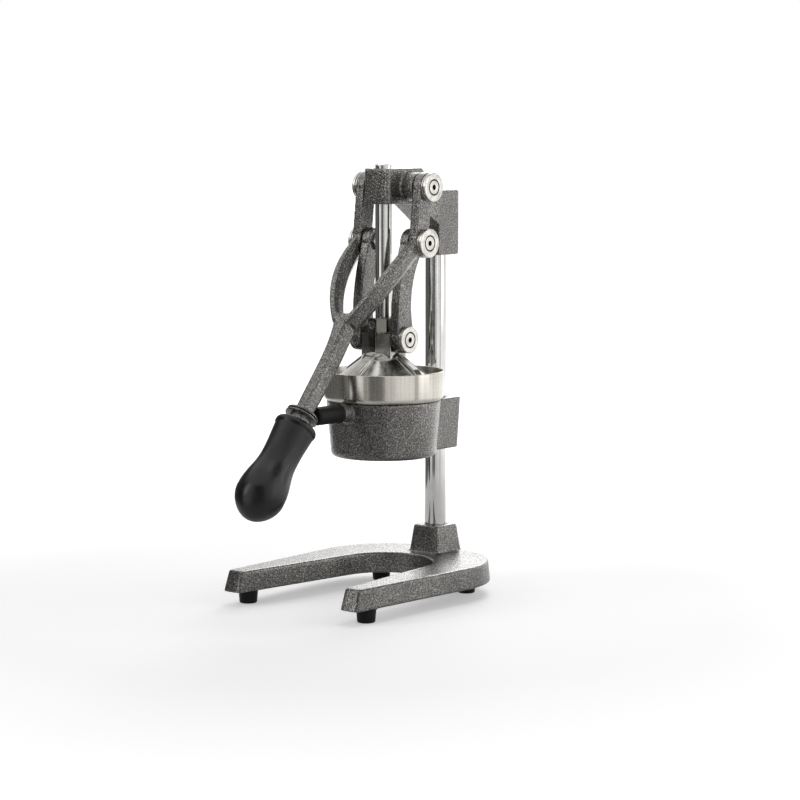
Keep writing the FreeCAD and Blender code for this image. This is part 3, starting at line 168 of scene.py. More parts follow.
def lathe(corners: Sequence[Corner], steps: int = 96, ring: bool = False) -> Shape:
    """Spins a profile about Z.

    Args:
        corners: (height, radius) or (height, radius, rounding) in millimetres.
        steps: facets around.
        ring: whether the profile closes on itself away from the axis.

    Returns:
        A closed shape in millimetres, with a "ring" attribute that grows along the profile.
    """
    shape = bmesh.new()
    points = [shape.verts.new((corner[1], 0.0, corner[0])) for corner in corners]
    for first, second in zip(points, points[1:]):
        shape.edges.new((first, second))
    if ring:
        shape.edges.new((points[-1], points[0]))
    for point, corner in zip(points, corners):
        if len(corner) > 2 and corner[2] > 0:
            bmesh.ops.bevel(shape, geom=[point], offset=corner[2], offset_type="OFFSET", segments=6,
                            profile=0.5, affect="VERTICES", material=-1)
    bmesh.ops.spin(shape, geom=shape.verts[:] + shape.edges[:], cent=(0, 0, 0), axis=(0, 0, 1),
                   dvec=(0, 0, 0), angle=math.tau, steps=steps, use_merge=True,
                   use_duplicate=False, use_normal_flip=False)
    close_up(shape)
    layer = shape.verts.layers.float.new("ring")
    for vertex in shape.verts:
        vertex[layer] = math.hypot(vertex.co.x, vertex.co.y) + vertex.co.z
    return shape


def close_up(shape: Shape, distance: float = 1e-4) -> None:
    """Merges seams and poles, drops flat faces and turns every face outward."""
    bmesh.ops.remove_doubles(shape, verts=shape.verts, dist=distance)
    bmesh.ops.dissolve_degenerate(shape, edges=shape.edges, dist=distance)
    bmesh.ops.recalc_face_normals(shape, faces=shape.faces)


def curve_profile(*runs: tuple[Pair, ...], count: int = 14) -> list[Corner]:
    """Profile corners along cubic runs.

    Args:
        runs: (start, first handle, second handle, end), each as (height, radius).
        count: corners on each run.

    Returns:
        The corners, each joint once.
    """
    corners: list[Corner] = []
    for run in runs:
        points = interpolate_bezier(*(Vector((*place, 0.0)) for place in run), count)
        corners += [(point.x, point.y) for point in points][1 if corners else 0:]
    return corners


def placed(shape: Shape, place: Matrix) -> Shape:
    """Moves a shape from its own millimetres to the row frame in metres."""
    bmesh.ops.transform(shape, matrix=Matrix.Scale(MM, 4) @ place, verts=shape.verts)
    return shape


def shifted(shape: Shape, place: Matrix, rule: Callable[[Vector], Optional[Vector]]) -> None:
    """Moves vertices of a shape in the row frame by a rule in a local frame.

    Args:
        shape: the shape, in metres.
        place: the local frame, in millimetres.
        rule: gives a vertex's new local place, or None where it stays.
    """
    frame = Matrix.Scale(MM, 4) @ place
    back = frame.inverted()
    for vertex in shape.verts:
        moved = rule(back @ vertex.co)
        if moved is not None:
            vertex.co = frame @ moved


def as_mesh(shape: Shape, name: str, crease: float = 32.0) -> bpy.types.Mesh:
    """Writes a shape to a smooth mesh that stays sharp where faces meet at more than crease."""
    mesh = bpy.data.meshes.new(name)
    shape.to_mesh(mesh)
    shape.free()
    mesh.shade_smooth()
    mesh.set_sharp_from_angle(angle=math.radians(crease))
    return mesh


def in_scene(name: str, data: bpy.types.ID) -> bpy.types.Object:
    """Links a new object for a mesh, lamp or camera to the scene."""
    item = bpy.data.objects.new(name, data)
    bpy.context.scene.collection.objects.link(item)
    return item


def with_modifier(mesh: bpy.types.Mesh, kind: str, **settings: object) -> bpy.types.Mesh:
    """Applies one modifier to a mesh and returns the result as a new mesh."""
    holder = in_scene("holder", mesh)
    modifier = holder.modifiers.new(kind.lower(), kind)
    for name, value in settings.items():
        setattr(modifier, name, value)
    graph = bpy.context.evaluated_depsgraph_get()
    result = bpy.data.meshes.new_from_object(holder.evaluated_get(graph))
    bpy.data.objects.remove(holder)
    return result


def cut(shape: Shape, tool: Shape) -> Shape:
    """Takes a closed tool shape out of a closed shape."""
    cutter = in_scene("cutter", as_mesh(tool, "cutter"))
    result = bmesh.new()
    result.from_mesh(with_modifier(as_mesh(shape, "uncut"), "BOOLEAN", operation="DIFFERENCE",
                                   object=cutter, solver="EXACT"))
    bpy.data.objects.remove(cutter)
    return result


def soft_cast(source: bpy.types.Object, grain: float, passes: int, extra: Iterable[Shape] = (),
              reshape: Optional[Callable[[Shape], None]] = None) -> Shape:
    """A cast copy of a CAD solid, with soft edges and filled inner corners.

    Args:
        source: the CAD node's object.
        grain: size of the skin's facets in millimetres.
        passes: smoothing passes, which round the edges.
        extra: more shapes in the row frame that the casting takes in.
        reshape: moves vertices of the copy before the skin is made.

    Returns:
        The skin in the row frame, in metres.
    """
    shape = bmesh.new()
    shape.from_mesh(source.data)
    bmesh.ops.remove_doubles(shape, verts=shape.verts, dist=1e-6)
    if reshape is not None:
        reshape(shape)
    for piece in extra:
        part = bpy.data.meshes.new("part")
        piece.to_mesh(part)
        piece.free()
        shape.from_mesh(part)
        bpy.data.meshes.remove(part)
    rough = bpy.data.meshes.new("rough")
    shape.to_mesh(rough)
    skin = with_modifier(rough, "REMESH", mode="VOXEL", voxel_size=grain * MM, adaptivity=0.0)
    shape.clear()
    shape.from_mesh(skin)
    for _ in range(passes):
        bmesh.ops.smooth_vert(shape, verts=shape.verts, factor=0.5, use_axis_x=True,
                              use_axis_y=True, use_axis_z=True)
    bmesh.ops.recalc_face_normals(shape, faces=shape.faces)
    return shape


def hex_screw(radius: float, length: float, flats: float, depth: float,
              bevel: float = 0.6) -> Shape:
    """A set screw that ends at Z = 0, with a hexagon socket in that end.

    Args:
        radius: the screw's outer radius in millimetres.
        length: its length in millimetres.
        flats: across the flats of the socket.
        depth: depth of the socket.
        bevel: width of the slope at both ends.

    Returns:
        The closed screw, in millimetres, pointing down from Z = 0.
    """
    shape = bmesh.new()
    outer = bmesh.ops.create_circle(shape, cap_ends=False, radius=radius - bevel, segments=48)
    mouth = bmesh.ops.create_circle(shape, cap_ends=False, radius=flats / math.sqrt(3), segments=6)
    edges = list({edge for ring in (outer, mouth) for vertex in ring["verts"]
                  for edge in vertex.link_edges})
    inner = [edge for edge in edges if all(end in mouth["verts"] for end in edge.verts)]
    rim = [edge for edge in edges if edge not in inner]
    bmesh.ops.bridge_loops(shape, edges=rim + inner)

    def pull(ring: list[bmesh.types.BMEdge], drop: float, widen: float) -> list[bmesh.types.BMEdge]:
        """Extrudes an open ring down and out, and returns the new ring."""
        made = bmesh.ops.extrude_edge_only(shape, edges=ring)["geom"]
        ends = [item for item in made if isinstance(item, bmesh.types.BMVert)]
        for vertex in ends:
            flat = math.hypot(vertex.co.x, vertex.co.y) or 1.0
            vertex.co += Vector((vertex.co.x / flat * widen, vertex.co.y / flat * widen, -drop))
        return [item for item in made if isinstance(item, bmesh.types.BMEdge)
                and all(end in ends for end in item.verts)]

    bmesh.ops.contextual_create(shape, geom=pull(inner, depth, 0.0))
    wall = pull(pull(pull(rim, bevel, bevel), length - 2 * bevel, 0.0), bevel, -bevel)
    bmesh.ops.contextual_create(shape, geom=wall)
    close_up(shape)
    return shape


# ---------------------------------------------------------------- finishes


def colour(code: str) -> tuple[float, float, float, float]:
    """Turns an sRGB hex code to a linear colour."""
    parts = [int(code.lstrip("#")[start:start + 2], 16) / 255 for start in (0, 2, 4)]
    return tuple(part / 12.92 if part <= 0.04045 else ((part + 0.055) / 1.055) ** 2.4
                 for part in parts) + (1.0,)


def per_metre(size: float) -> float:
    """Texture scale that repeats a pattern every size millimetres on metre coordinates."""
    return 1000.0 / size


def add_node(tree: Tree, kind: str, settings: Settings, links: Links) -> bpy.types.Node:
    """Adds a node.

    Args:
        tree: the material's or world's node tree.
        kind: the node's type, without "ShaderNode".
        settings: values by socket name or number, or by property; "stops" fills a colour ramp.
        links: what feeds each socket, where a node stands for its first output.

    Returns:
        The new node.
    """
    node = tree.nodes.new(f"ShaderNode{kind}")
    for name, value in settings.items():
        if name == "stops":
            ramp = node.color_ramp
            while len(ramp.elements) < len(value):
                ramp.elements.new(0.5)
            for element, (place, tint) in zip(ramp.elements, value):
                element.position = place
                element.color = colour(tint)
        elif isinstance(name, int) or name in node.inputs:
            node.inputs[name].default_value = value
        else:
            setattr(node, name, value)
    for name, source in links.items():
        socket = source if isinstance(source, Socket) else source.outputs[0]
        tree.links.new(socket, node.inputs[name])
    return node


def bare_tree(owner: Union[bpy.types.Material, bpy.types.World]) -> Tree:
    """Gives a material or world an empty node tree."""
    owner.use_nodes = True
    owner.node_tree.nodes.clear()
    return owner.node_tree


@dataclass(frozen=True)
class Finish:
    """A surface finish. Each kind draws its own pattern in pattern().

    The stops are the colours of its ramp. The gloss is two levels of the pattern and the roughness
    at each. The relief is a strength and a depth in millimetres.
    """

    name: str = "finish"
    metallic: float = 1.0
    specular: float = 0.5
    coat: float = 0.0
    coat_roughness: float = 0.1
    anisotropy: float = 0.0
    anisotropic_turn: float = 0.0
    stops: Stops = ()
    gloss: Range = (0.3, 0.7, 0.26, 0.42)
    relief: Pair = (0.2, 0.04)

    def make(self) -> bpy.types.Material:
        """Builds the material around one Principled shader."""
        material = bpy.data.materials.new(self.name)
        tree = bare_tree(material)
        place = add_node(tree, "TexCoord", {}, {})
        shader = add_node(tree, "BsdfPrincipled", {
            "Metallic": self.metallic,
            "Specular IOR Level": self.specular,
            "Coat Weight": self.coat,
            "Coat Roughness": self.coat_roughness,
            "Anisotropic": self.anisotropy,
            "Anisotropic Rotation": self.anisotropic_turn,
        }, self.pattern(tree, place.outputs["Object"]))
        add_node(tree, "OutputMaterial", {}, {"Surface": shader})
        return material

    def pattern(self, tree: Tree, place: Socket) -> Links:
        """What feeds the shader's inputs."""
        raise NotImplementedError

    def surface(self, tree: Tree, tint: Union[bpy.types.Node, Socket], level: bpy.types.Node,
                height: bpy.types.Node) -> Links:
        """Colour, gloss and relief of the finish.

        Args:
            tree: the material's node tree.
            tint: the colour.
            level: the pattern that the gloss follows.
            height: the pattern that stands out in the relief.

        Returns:
            What feeds the shader's colour, roughness and normal.
        """
        strength, depth = self.relief
        return {
            "Base Color": tint,
            "Roughness": add_node(tree, "MapRange", dict(zip(RANGE, self.gloss)), {"Value": level}),
            "Normal": add_node(tree, "Bump", {"Strength": strength, "Distance": depth * MM},
                               {"Height": height}),
        }


@dataclass(frozen=True)
class HammeredPaint(Finish):
    """Hammertone enamel on sand-cast iron, sprayed thick and oven-dried.

    Silicone in the wet paint draws it into small dark dimples, and its aluminium flakes gather as
    bright flecks between them, under a glossy top layer. At a flat angle the gloss turns almost
    white.
    """

    name: str = "hammertone_enamel"
    metallic: float = 0.8
    coat: float = 0.8
    coat_roughness: float = 0.16
    stops: Stops = ((0.36, "#454442"), (0.47, "#615e5b"), (0.56, "#84817d"), (0.68, "#b6b3ad"))
    gloss: Range = (0.35, 0.65, 0.34, 0.22)
    relief: Pair = (1.0, 0.45)
    coat_relief: float = 0.6
    fleck: float = 1.3
    drift: float = 28.0
    drift_stops: Stops = ((0.35, "#d6d6d6"), (0.7, "#ffffff"))

    def pattern(self, tree: Tree, place: Socket) -> Links:
        """Flecks of flake, a slow drift in tone and a dimpled relief."""
        grain = add_node(tree, "TexNoise", {"Scale": per_metre(self.fleck), "Detail": 2.0,
                                            "Roughness": 0.6, "Distortion": 0.3},
                         {"Vector": place})
        flake = add_node(tree, "ValToRGB", {"stops": self.stops}, {"Fac": grain})
        slow = add_node(tree, "TexNoise", {"Scale": per_metre(self.drift), "Detail": 3.0},
                        {"Vector": place})
        tone = add_node(tree, "ValToRGB", {"stops": self.drift_stops}, {"Fac": slow})
        mixed = add_node(tree, "Mix", {"data_type": "RGBA", "blend_type": "MULTIPLY",
                                       "Factor": 1.0}, {6: flake, 7: tone})
        skin = add_node(tree, "Bump", {"Strength": self.coat_relief,
                                       "Distance": self.relief[1] * MM}, {"Height": grain})
        return {**self.surface(tree, mixed.outputs[2], grain, grain), "Coat Normal": skin}


@dataclass(frozen=True)
class HardChrome(Finish):
    """Hard-chromed steel bar, centreless ground and polished.

    Almost a mirror, with a faint haze that comes and goes and very fine grinding rings around it.
    """

    name: str = "hard_chrome_bar"
    stops: Stops = ((0.3, "#cac9c7"), (0.7, "#d9d8d6"))
    gloss: Range = (0.0, 1.0, 0.05, 0.12)
    relief: Pair = (0.10, 0.02)
    haze: float = 14.0
    ring: float = 0.9
    ring_run: float = 50.0

    def pattern(self, tree: Tree, place: Socket) -> Links:
        """Haze in the gloss and rings too shallow to bend the reflection much."""
        haze = add_node(tree, "TexNoise", {"Scale": per_metre(self.haze), "Detail": 4.0},
                        {"Vector": place})
        tint = add_node(tree, "ValToRGB", {"stops": self.stops}, {"Fac": haze})
        run = per_metre(self.ring_run)
        stretch = add_node(tree, "Mapping", {"Scale": (run, run, per_metre(self.ring))},
                           {"Vector": place})
        rings = add_node(tree, "TexNoise", {"Scale": 1.0, "Detail": 2.0}, {"Vector": stretch})
        return self.surface(tree, tint, haze, rings)


@dataclass(frozen=True)
class BrushedSteel(Finish):
    """Stainless sheet, spun to shape and brushed round with a fine belt.

    The brush lines run around the axis, so reflections stay crisp sideways and smear up and down.
    The spinning roller leaves faint upright facets, which break the reflections into fine bands.
    """

    name: str = "brushed_stainless"
    anisotropy: float = 0.8
    anisotropic_turn: float = 0.25
    stops: Stops = ((0.5, "#b9b4ab"), (1.0, "#d2cec7"))
    gloss: Range = (0.5, 1.1, 0.20, 0.27)
    relief: Pair = (0.08, 0.02)
    brush: Pair = (40.0, 0.5)
    facet: Pair = (1.7, 250.0)
    brush_share: float = 0.6

    def pattern(self, tree: Tree, place: Socket) -> Links:
        """Brush lines and upright facets, in colour, gloss and relief."""
        centre = add_node(tree, "VectorMath", {
            "operation": "SUBTRACT", 1: (0.0, LINKAGE.press_y * MM, 0.0)}, {0: place})
        (along, rise), (width, height) = self.brush, self.facet
        lines = add_node(tree, "Mapping", {
            "Scale": (per_metre(along), per_metre(along), per_metre(rise))}, {"Vector": centre})
        brush = add_node(tree, "TexNoise", {"Scale": 1.0, "Detail": 4.0, "Roughness": 0.6},
                         {"Vector": lines})
        flat = add_node(tree, "Mapping", {
            "Scale": (per_metre(width), per_metre(width), per_metre(height))}, {"Vector": centre})
        facets = add_node(tree, "TexNoise", {"Scale": 1.0, "Detail": 2.0}, {"Vector": flat})
        both = add_node(tree, "Math", {"operation": "MULTIPLY_ADD", 1: self.brush_share},
                        {0: brush, 2: facets})
        tint = add_node(tree, "ValToRGB", {"stops": self.stops}, {"Fac": both})
        around = add_node(tree, "VectorMath", {
            "operation": "CROSS_PRODUCT", 0: (0.0, 0.0, 1.0)}, {1: centre})
        world = add_node(tree, "VectorTransform", {
            "vector_type": "VECTOR", "convert_from": "OBJECT", "convert_to": "WORLD"},
            {"Vector": around})
        return {**self.surface(tree, tint, both, facets), "Tangent": world}


@dataclass(frozen=True)
class TurnedSteel(Finish):
    """Nickel-plated steel, turned on a lathe.

    The tool leaves fine rings about the axis. They are drawn twice as coarse as the real feed of
    about 0.2 mm, so that they show. The grooves, the socket and the gap under a bolt's head get
    a painted shade: a dark colour where shade falls.
    """

    name: str = "turned_nickelled_steel"
    stops: Stops = ((0.5, "#aeaba5"), (1.0, "#dedbd5"))
    gloss: Range = (0.5, 1.1, 0.20, 0.36)
    relief: Pair = (0.35, 0.04)
    feed: float = 0.42
    mottle: float = 5.0
    line_share: float = 0.6
    # Colour of the painted shade in the grooves and under the head.
    dirt: str = "#24221f"

    def pattern(self, tree: Tree, place: Socket) -> Links:
        """Tool rings along the profile, a soft mottle over them, and painted shade in recesses."""
        ring = add_node(tree, "Attribute", {"attribute_name": "ring"}, {})
        lines = add_node(tree, "TexNoise", {"noise_dimensions": "1D", "Scale": 1.0 / self.feed,
                                            "Detail": 2.0}, {"W": ring.outputs["Fac"]})
        mottle = add_node(tree, "TexNoise", {"Scale": per_metre(self.mottle), "Detail": 3.0},
                          {"Vector": place})
        both = add_node(tree, "Math", {"operation": "MULTIPLY_ADD", 1: self.line_share},
                        {0: lines, 2: mottle})
        metal = add_node(tree, "ValToRGB", {"stops": self.stops}, {"Fac": both})
        # Painted shade: where the recess layer is set, the colour turns dark, in place of shade.
        recess = add_node(tree, "Attribute", {"attribute_name": "recess"}, {})
        tint = add_node(tree, "Mix", {"data_type": "RGBA", 7: colour(self.dirt)},
                        {"Factor": recess.outputs["Fac"], 6: metal})
        return self.surface(tree, tint.outputs[2], both, lines)


@dataclass(frozen=True)
class CastAluminium(Finish):
    """Die-cast aluminium, tumbled and lightly polished.

    A satin grey metal with a cloudy sheen, small pits and scuffs from tumbling. The hub has a
    painted shade: above two heights its colour grows darker, standing in for shade on it.
    """

    name: str = "tumbled_aluminium"
    stops: Stops = ((0.3, "#8b8985"), (0.7, "#aeaca7"))
    gloss: Range = (0.3, 0.7, 0.13, 0.24)
    relief: Pair = (0.22, 0.06)
    cloud: float = 9.0
    pit: float = 0.8
    # Heights over which the painted shade on the hub fades in, and the colour it multiplies by.
    hub_foot: Pair = (229.0, 233.0)
    painted_hub_shade: str = "#bcbab6"

    def pattern(self, tree: Tree, place: Socket) -> Links:
        """Clouds in colour and gloss, a painted shade on the hub, and small pits in the relief."""
        cloud = add_node(tree, "TexNoise", {"Scale": per_metre(self.cloud), "Detail": 5.0},
                         {"Vector": place})
        metal = add_node(tree, "ValToRGB", {"stops": self.stops}, {"Fac": cloud})
        height = add_node(tree, "SeparateXYZ", {}, {"Vector": place})
        # Painted shade: from these heights up, the colour is multiplied darker on the hub.
        skin = add_node(tree, "MapRange", {"From Min": self.hub_foot[0] * MM,
                                           "From Max": self.hub_foot[1] * MM},
                        {"Value": height.outputs["Z"]})
        tint = add_node(tree, "Mix", {"data_type": "RGBA", "blend_type": "MULTIPLY",
                                      7: colour(self.painted_hub_shade)}, {"Factor": skin, 6: metal})
        pits = add_node(tree, "TexNoise", {"Scale": per_metre(self.pit), "Detail": 2.0},
                        {"Vector": place})
        return self.surface(tree, tint.outputs[2], cloud, pits)


@dataclass(frozen=True)
class PlatedSteel(Finish):
    """Zinc-plated steel fastener, cold formed and barrel plated."""

    name: str = "zinc_plated_steel"
    stops: Stops = ((0.35, "#8f9395"), (0.65, "#b9bcbd"))
    grain: float = 1.6

    def pattern(self, tree: Tree, place: Socket) -> Links:
        """Crystal mottle of the plating in colour, gloss and relief."""
        grain = add_node(tree, "TexNoise", {"Scale": per_metre(self.grain), "Detail": 4.0},
                         {"Vector": place})
        tint = add_node(tree, "ValToRGB", {"stops": self.stops}, {"Fac": grain})
        return self.surface(tree, tint, grain, grain)


@dataclass(frozen=True)
class SinteredBronze(PlatedSteel):
    """Oil-filled sintered bronze bush: a dull brown metal with open pores."""

    name: str = "sintered_bronze"
    stops: Stops = ((0.35, "#463f37"), (0.65, "#675c4e"))
    gloss: Range = (0.3, 0.7, 0.38, 0.55)
    grain: float = 0.7


@dataclass(frozen=True)
class MouldedPlastic(Finish):
    """Black polypropylene, injection moulded in a spark-eroded tool.

    A dark satin skin with a fine grain that handling has burnished in places.
    """

    name: str = "moulded_polypropylene"
    metallic: float = 0.0
    specular: float = 0.42
    stops: Stops = ((0.35, "#131313"), (0.7, "#1f1f1f"))
    gloss: Range = (0.35, 0.7, 0.23, 0.38)
    relief: Pair = (0.3, 0.05)
    grain: float = 0.7
    rub: float = 17.0

    def pattern(self, tree: Tree, place: Socket) -> Links:
        """Mould grain in the relief and burnished patches in the gloss."""
        rub = add_node(tree, "TexNoise", {"Scale": per_metre(self.rub), "Detail": 4.0},
                       {"Vector": place})
        tint = add_node(tree, "ValToRGB", {"stops": self.stops}, {"Fac": rub})
        grain = add_node(tree, "TexNoise", {"Scale": per_metre(self.grain), "Detail": 2.0},
                         {"Vector": place})
        return self.surface(tree, tint, rub, grain)


@dataclass(frozen=True)
class Rubber(MouldedPlastic):
    """Compression-moulded nitrile rubber: matt black with a dusty bloom."""

    name: str = "nitrile_rubber"
    specular: float = 0.25
    stops: Stops = ((0.35, "#0b0b0b"), (0.7, "#141414"))
    gloss: Range = (0.35, 0.7, 0.42, 0.62)
    relief: Pair = (0.3, 0.07)
    grain: float = 1.1


FINISHES: dict[Slot, Finish] = {
    Slot.HAMMERED: HammeredPaint(),
    Slot.PLAIN_STEEL: PlatedSteel(),
    Slot.RUBBER: Rubber(),
    Slot.CHROME: HardChrome(),
    Slot.TURNED: TurnedSteel(),
    Slot.BRUSHED: BrushedSteel(),
    Slot.ALUMINIUM: CastAluminium(),
    Slot.BRONZE: SinteredBronze(),
    Slot.GRIP: MouldedPlastic(),
}


# ---------------------------------------------------------------- workshop


class Workshop:
    """Holds the frame and the finishes, and turns shapes into pieces that ride on bodies."""

    def __init__(self, frame: Mapping[str, object]) -> None:
        """Makes every finish once."""
        self.nodes: Mapping[str, bpy.types.Object] = frame["nodes"]
        self.materials = {slot: finish.make() for slot, finish in FINISHES.items()}
        self.made = 0

    def add(self, name: str, shape: Shape, slot: Slot, body: Body, node: str,
            crease: float = 32.0) -> None:
        """Turns a shape into a finished piece.

        Args:
            name: the piece's name.
            shape: its shape, in the row frame in metres.
            slot: the record's slot that gives its finish.
            body: the body it rides on.
            node: the CAD node it stands for.
            crease: edges that bend more than this many degrees stay sharp.
        """
        mesh = as_mesh(shape, name, crease)
        mesh.materials.append(self.materials[slot])
        piece = in_scene(name, mesh)
        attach(piece, body.value)
        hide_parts(node)
        self.made += 1
        LOG.info("%s: %d faces on %s, in place of %s", name, len(mesh.polygons), body.value, node)

    def cast(self, name: str, node: str, slot: Slot, body: Body, skin: tuple[float, int],
             extra: Iterable[Shape] = (),
             reshape: Optional[Callable[[Shape], None]] = None) -> None:
        """Adds a soft cast copy of a CAD node; skin is its facets' size and smoothing passes."""
        shape = soft_cast(self.nodes[node], *skin, extra, reshape)
        self.add(name, shape, slot, body, node, CAST_CREASE)

    def dress_frame(self) -> None:
        """Gives every CAD node the finish of its slot."""
        slots = {slot.value: slot for slot in Slot}
        for name, node in self.nodes.items():
            for held in node.material_slots:
                key = held.material.name.split(".")[0] if held.material else ""
                held.material = self.materials[slots.get(key, Slot.PLAIN_STEEL)]
            LOG.info("CAD node %s keeps its shape", name)


# ---------------------------------------------------------------- sub-assemblies


@dataclass
class Base:
    """Horseshoe base with its hub, and the four rubber feet."""

    skin: tuple[float, int] = (1.0, 5)
    foot_height: float = 12.5
    foot_top: float = 9.7
    foot_bottom: float = 8.0
    foot_lip: float = 1.4
    recess: float = 4.75
    recess_depth: float = 6.5
    screw_hole: float = 2.0
    seat_gap: float = 0.02
    front_foot: Pair = (71.0, -108.0)
    rear_foot: Pair = (52.0, 58.0)

    def build(self, shop: Workshop) -> None:
        """Makes the casting and its feet."""
        shop.cast("horseshoe_base", "base_casting", Slot.HAMMERED, Body.STAND, self.skin)
        for end, (x, y) in (("front", self.front_foot), ("rear", self.rear_foot)):
            for side in Side:
                place = Matrix.Translation((side.value * x, LINKAGE.press_y + y, 0.0))
                name = f"{end}_{side.word}"
                shop.add(f"foot_pad_{name}", placed(self.foot(), place), Slot.RUBBER, Body.STAND,
                         f"foot_{name}")

    def foot(self) -> Shape:
        """A tapered foot with a lip under the casting and a recess for its screw."""
        lip, seat = self.foot_height - self.foot_lip, self.foot_height - self.seat_gap
        slope = (self.foot_top - self.foot_bottom) / self.foot_height
        return lathe([
            (self.recess_depth, self.screw_hole), (self.recess_depth, self.recess, 0.5),
            (0.0, self.recess, 0.6), (0.0, self.foot_bottom, 1.2),
            (lip, self.foot_bottom + slope * lip - 0.6, 0.4), (lip, self.foot_top - 0.1, 0.4),
            (seat, self.foot_top, 0.3), (seat, self.screw_hole),
        ], 64, ring=True)


@dataclass
class Post:
    """Column that carries the brackets, and the guide arm clamped on it.

    A cheek gives a distance behind the press axis, a bottom, a top and a half width.
    """

    radius: float = 10.0
    foot: float = 26.0
    top: float = 368.0
    chamfer: float = 1.2
    thread: float = 5.0
    thread_depth: float = 26.0
    screw_radius: float = 4.0
    screw_socket: float = 4.0
    upper_screw: Pair = (90.3, 343.95)
    bowl_screw: Pair = (91.55, 155.0)
    cheek_front: Range = (46.5, 351.6, 386.0, 14.4)
    cheek_back: Range = (61.2, 342.2, 371.6, 16.9)
    skin: tuple[float, int] = (0.8, 4)

    def cheek(self) -> Shape:
        """The swelling that carries the arm's sides out to the clamp's."""
        shape = bmesh.new()
        bmesh.ops.create_cube(shape, size=2.0)
        for vertex in shape.verts:
            y, bottom, top, half = self.cheek_back if vertex.co.y > 0 else self.cheek_front
            vertex.co = Vector((vertex.co.x * half, y, top if vertex.co.z > 0 else bottom))
        return placed(shape, LINKAGE.upright())

    def build(self, shop: Workshop) -> None:
        """Makes the column, the guide arm and the clamp screws."""
        bar = lathe([
            (self.foot + self.thread_depth, 0.0), (self.foot + self.thread_depth, self.thread),
            (self.foot, self.thread), (self.foot, self.radius, self.chamfer),
            (self.top, self.radius, self.chamfer), (self.top, 0.0),
        ], 128)
        shop.add("post", placed(bar, LINKAGE.upright(LINKAGE.column_offset)), Slot.CHROME,
                 Body.STAND, "column")
        shop.cast("guide_arm", "upper_bracket", Slot.HAMMERED, Body.STAND, self.skin,
                  (self.cheek(),))
        for name, (y, z), node in (("arm_clamp_screw", self.upper_screw, "upper_set_screw"),
                                   ("bowl_clamp_screw", self.bowl_screw, "bowl_set_screw")):
            length = y - LINKAGE.column_offset - self.radius
            screw = hex_screw(self.screw_radius, length, self.screw_socket, min(3.0, length - 1.0))
            shop.add(name, placed(screw, LINKAGE.upright(y, z) @ turn(-90, "X")),
                     Slot.PLAIN_STEEL, Body.STAND, node)


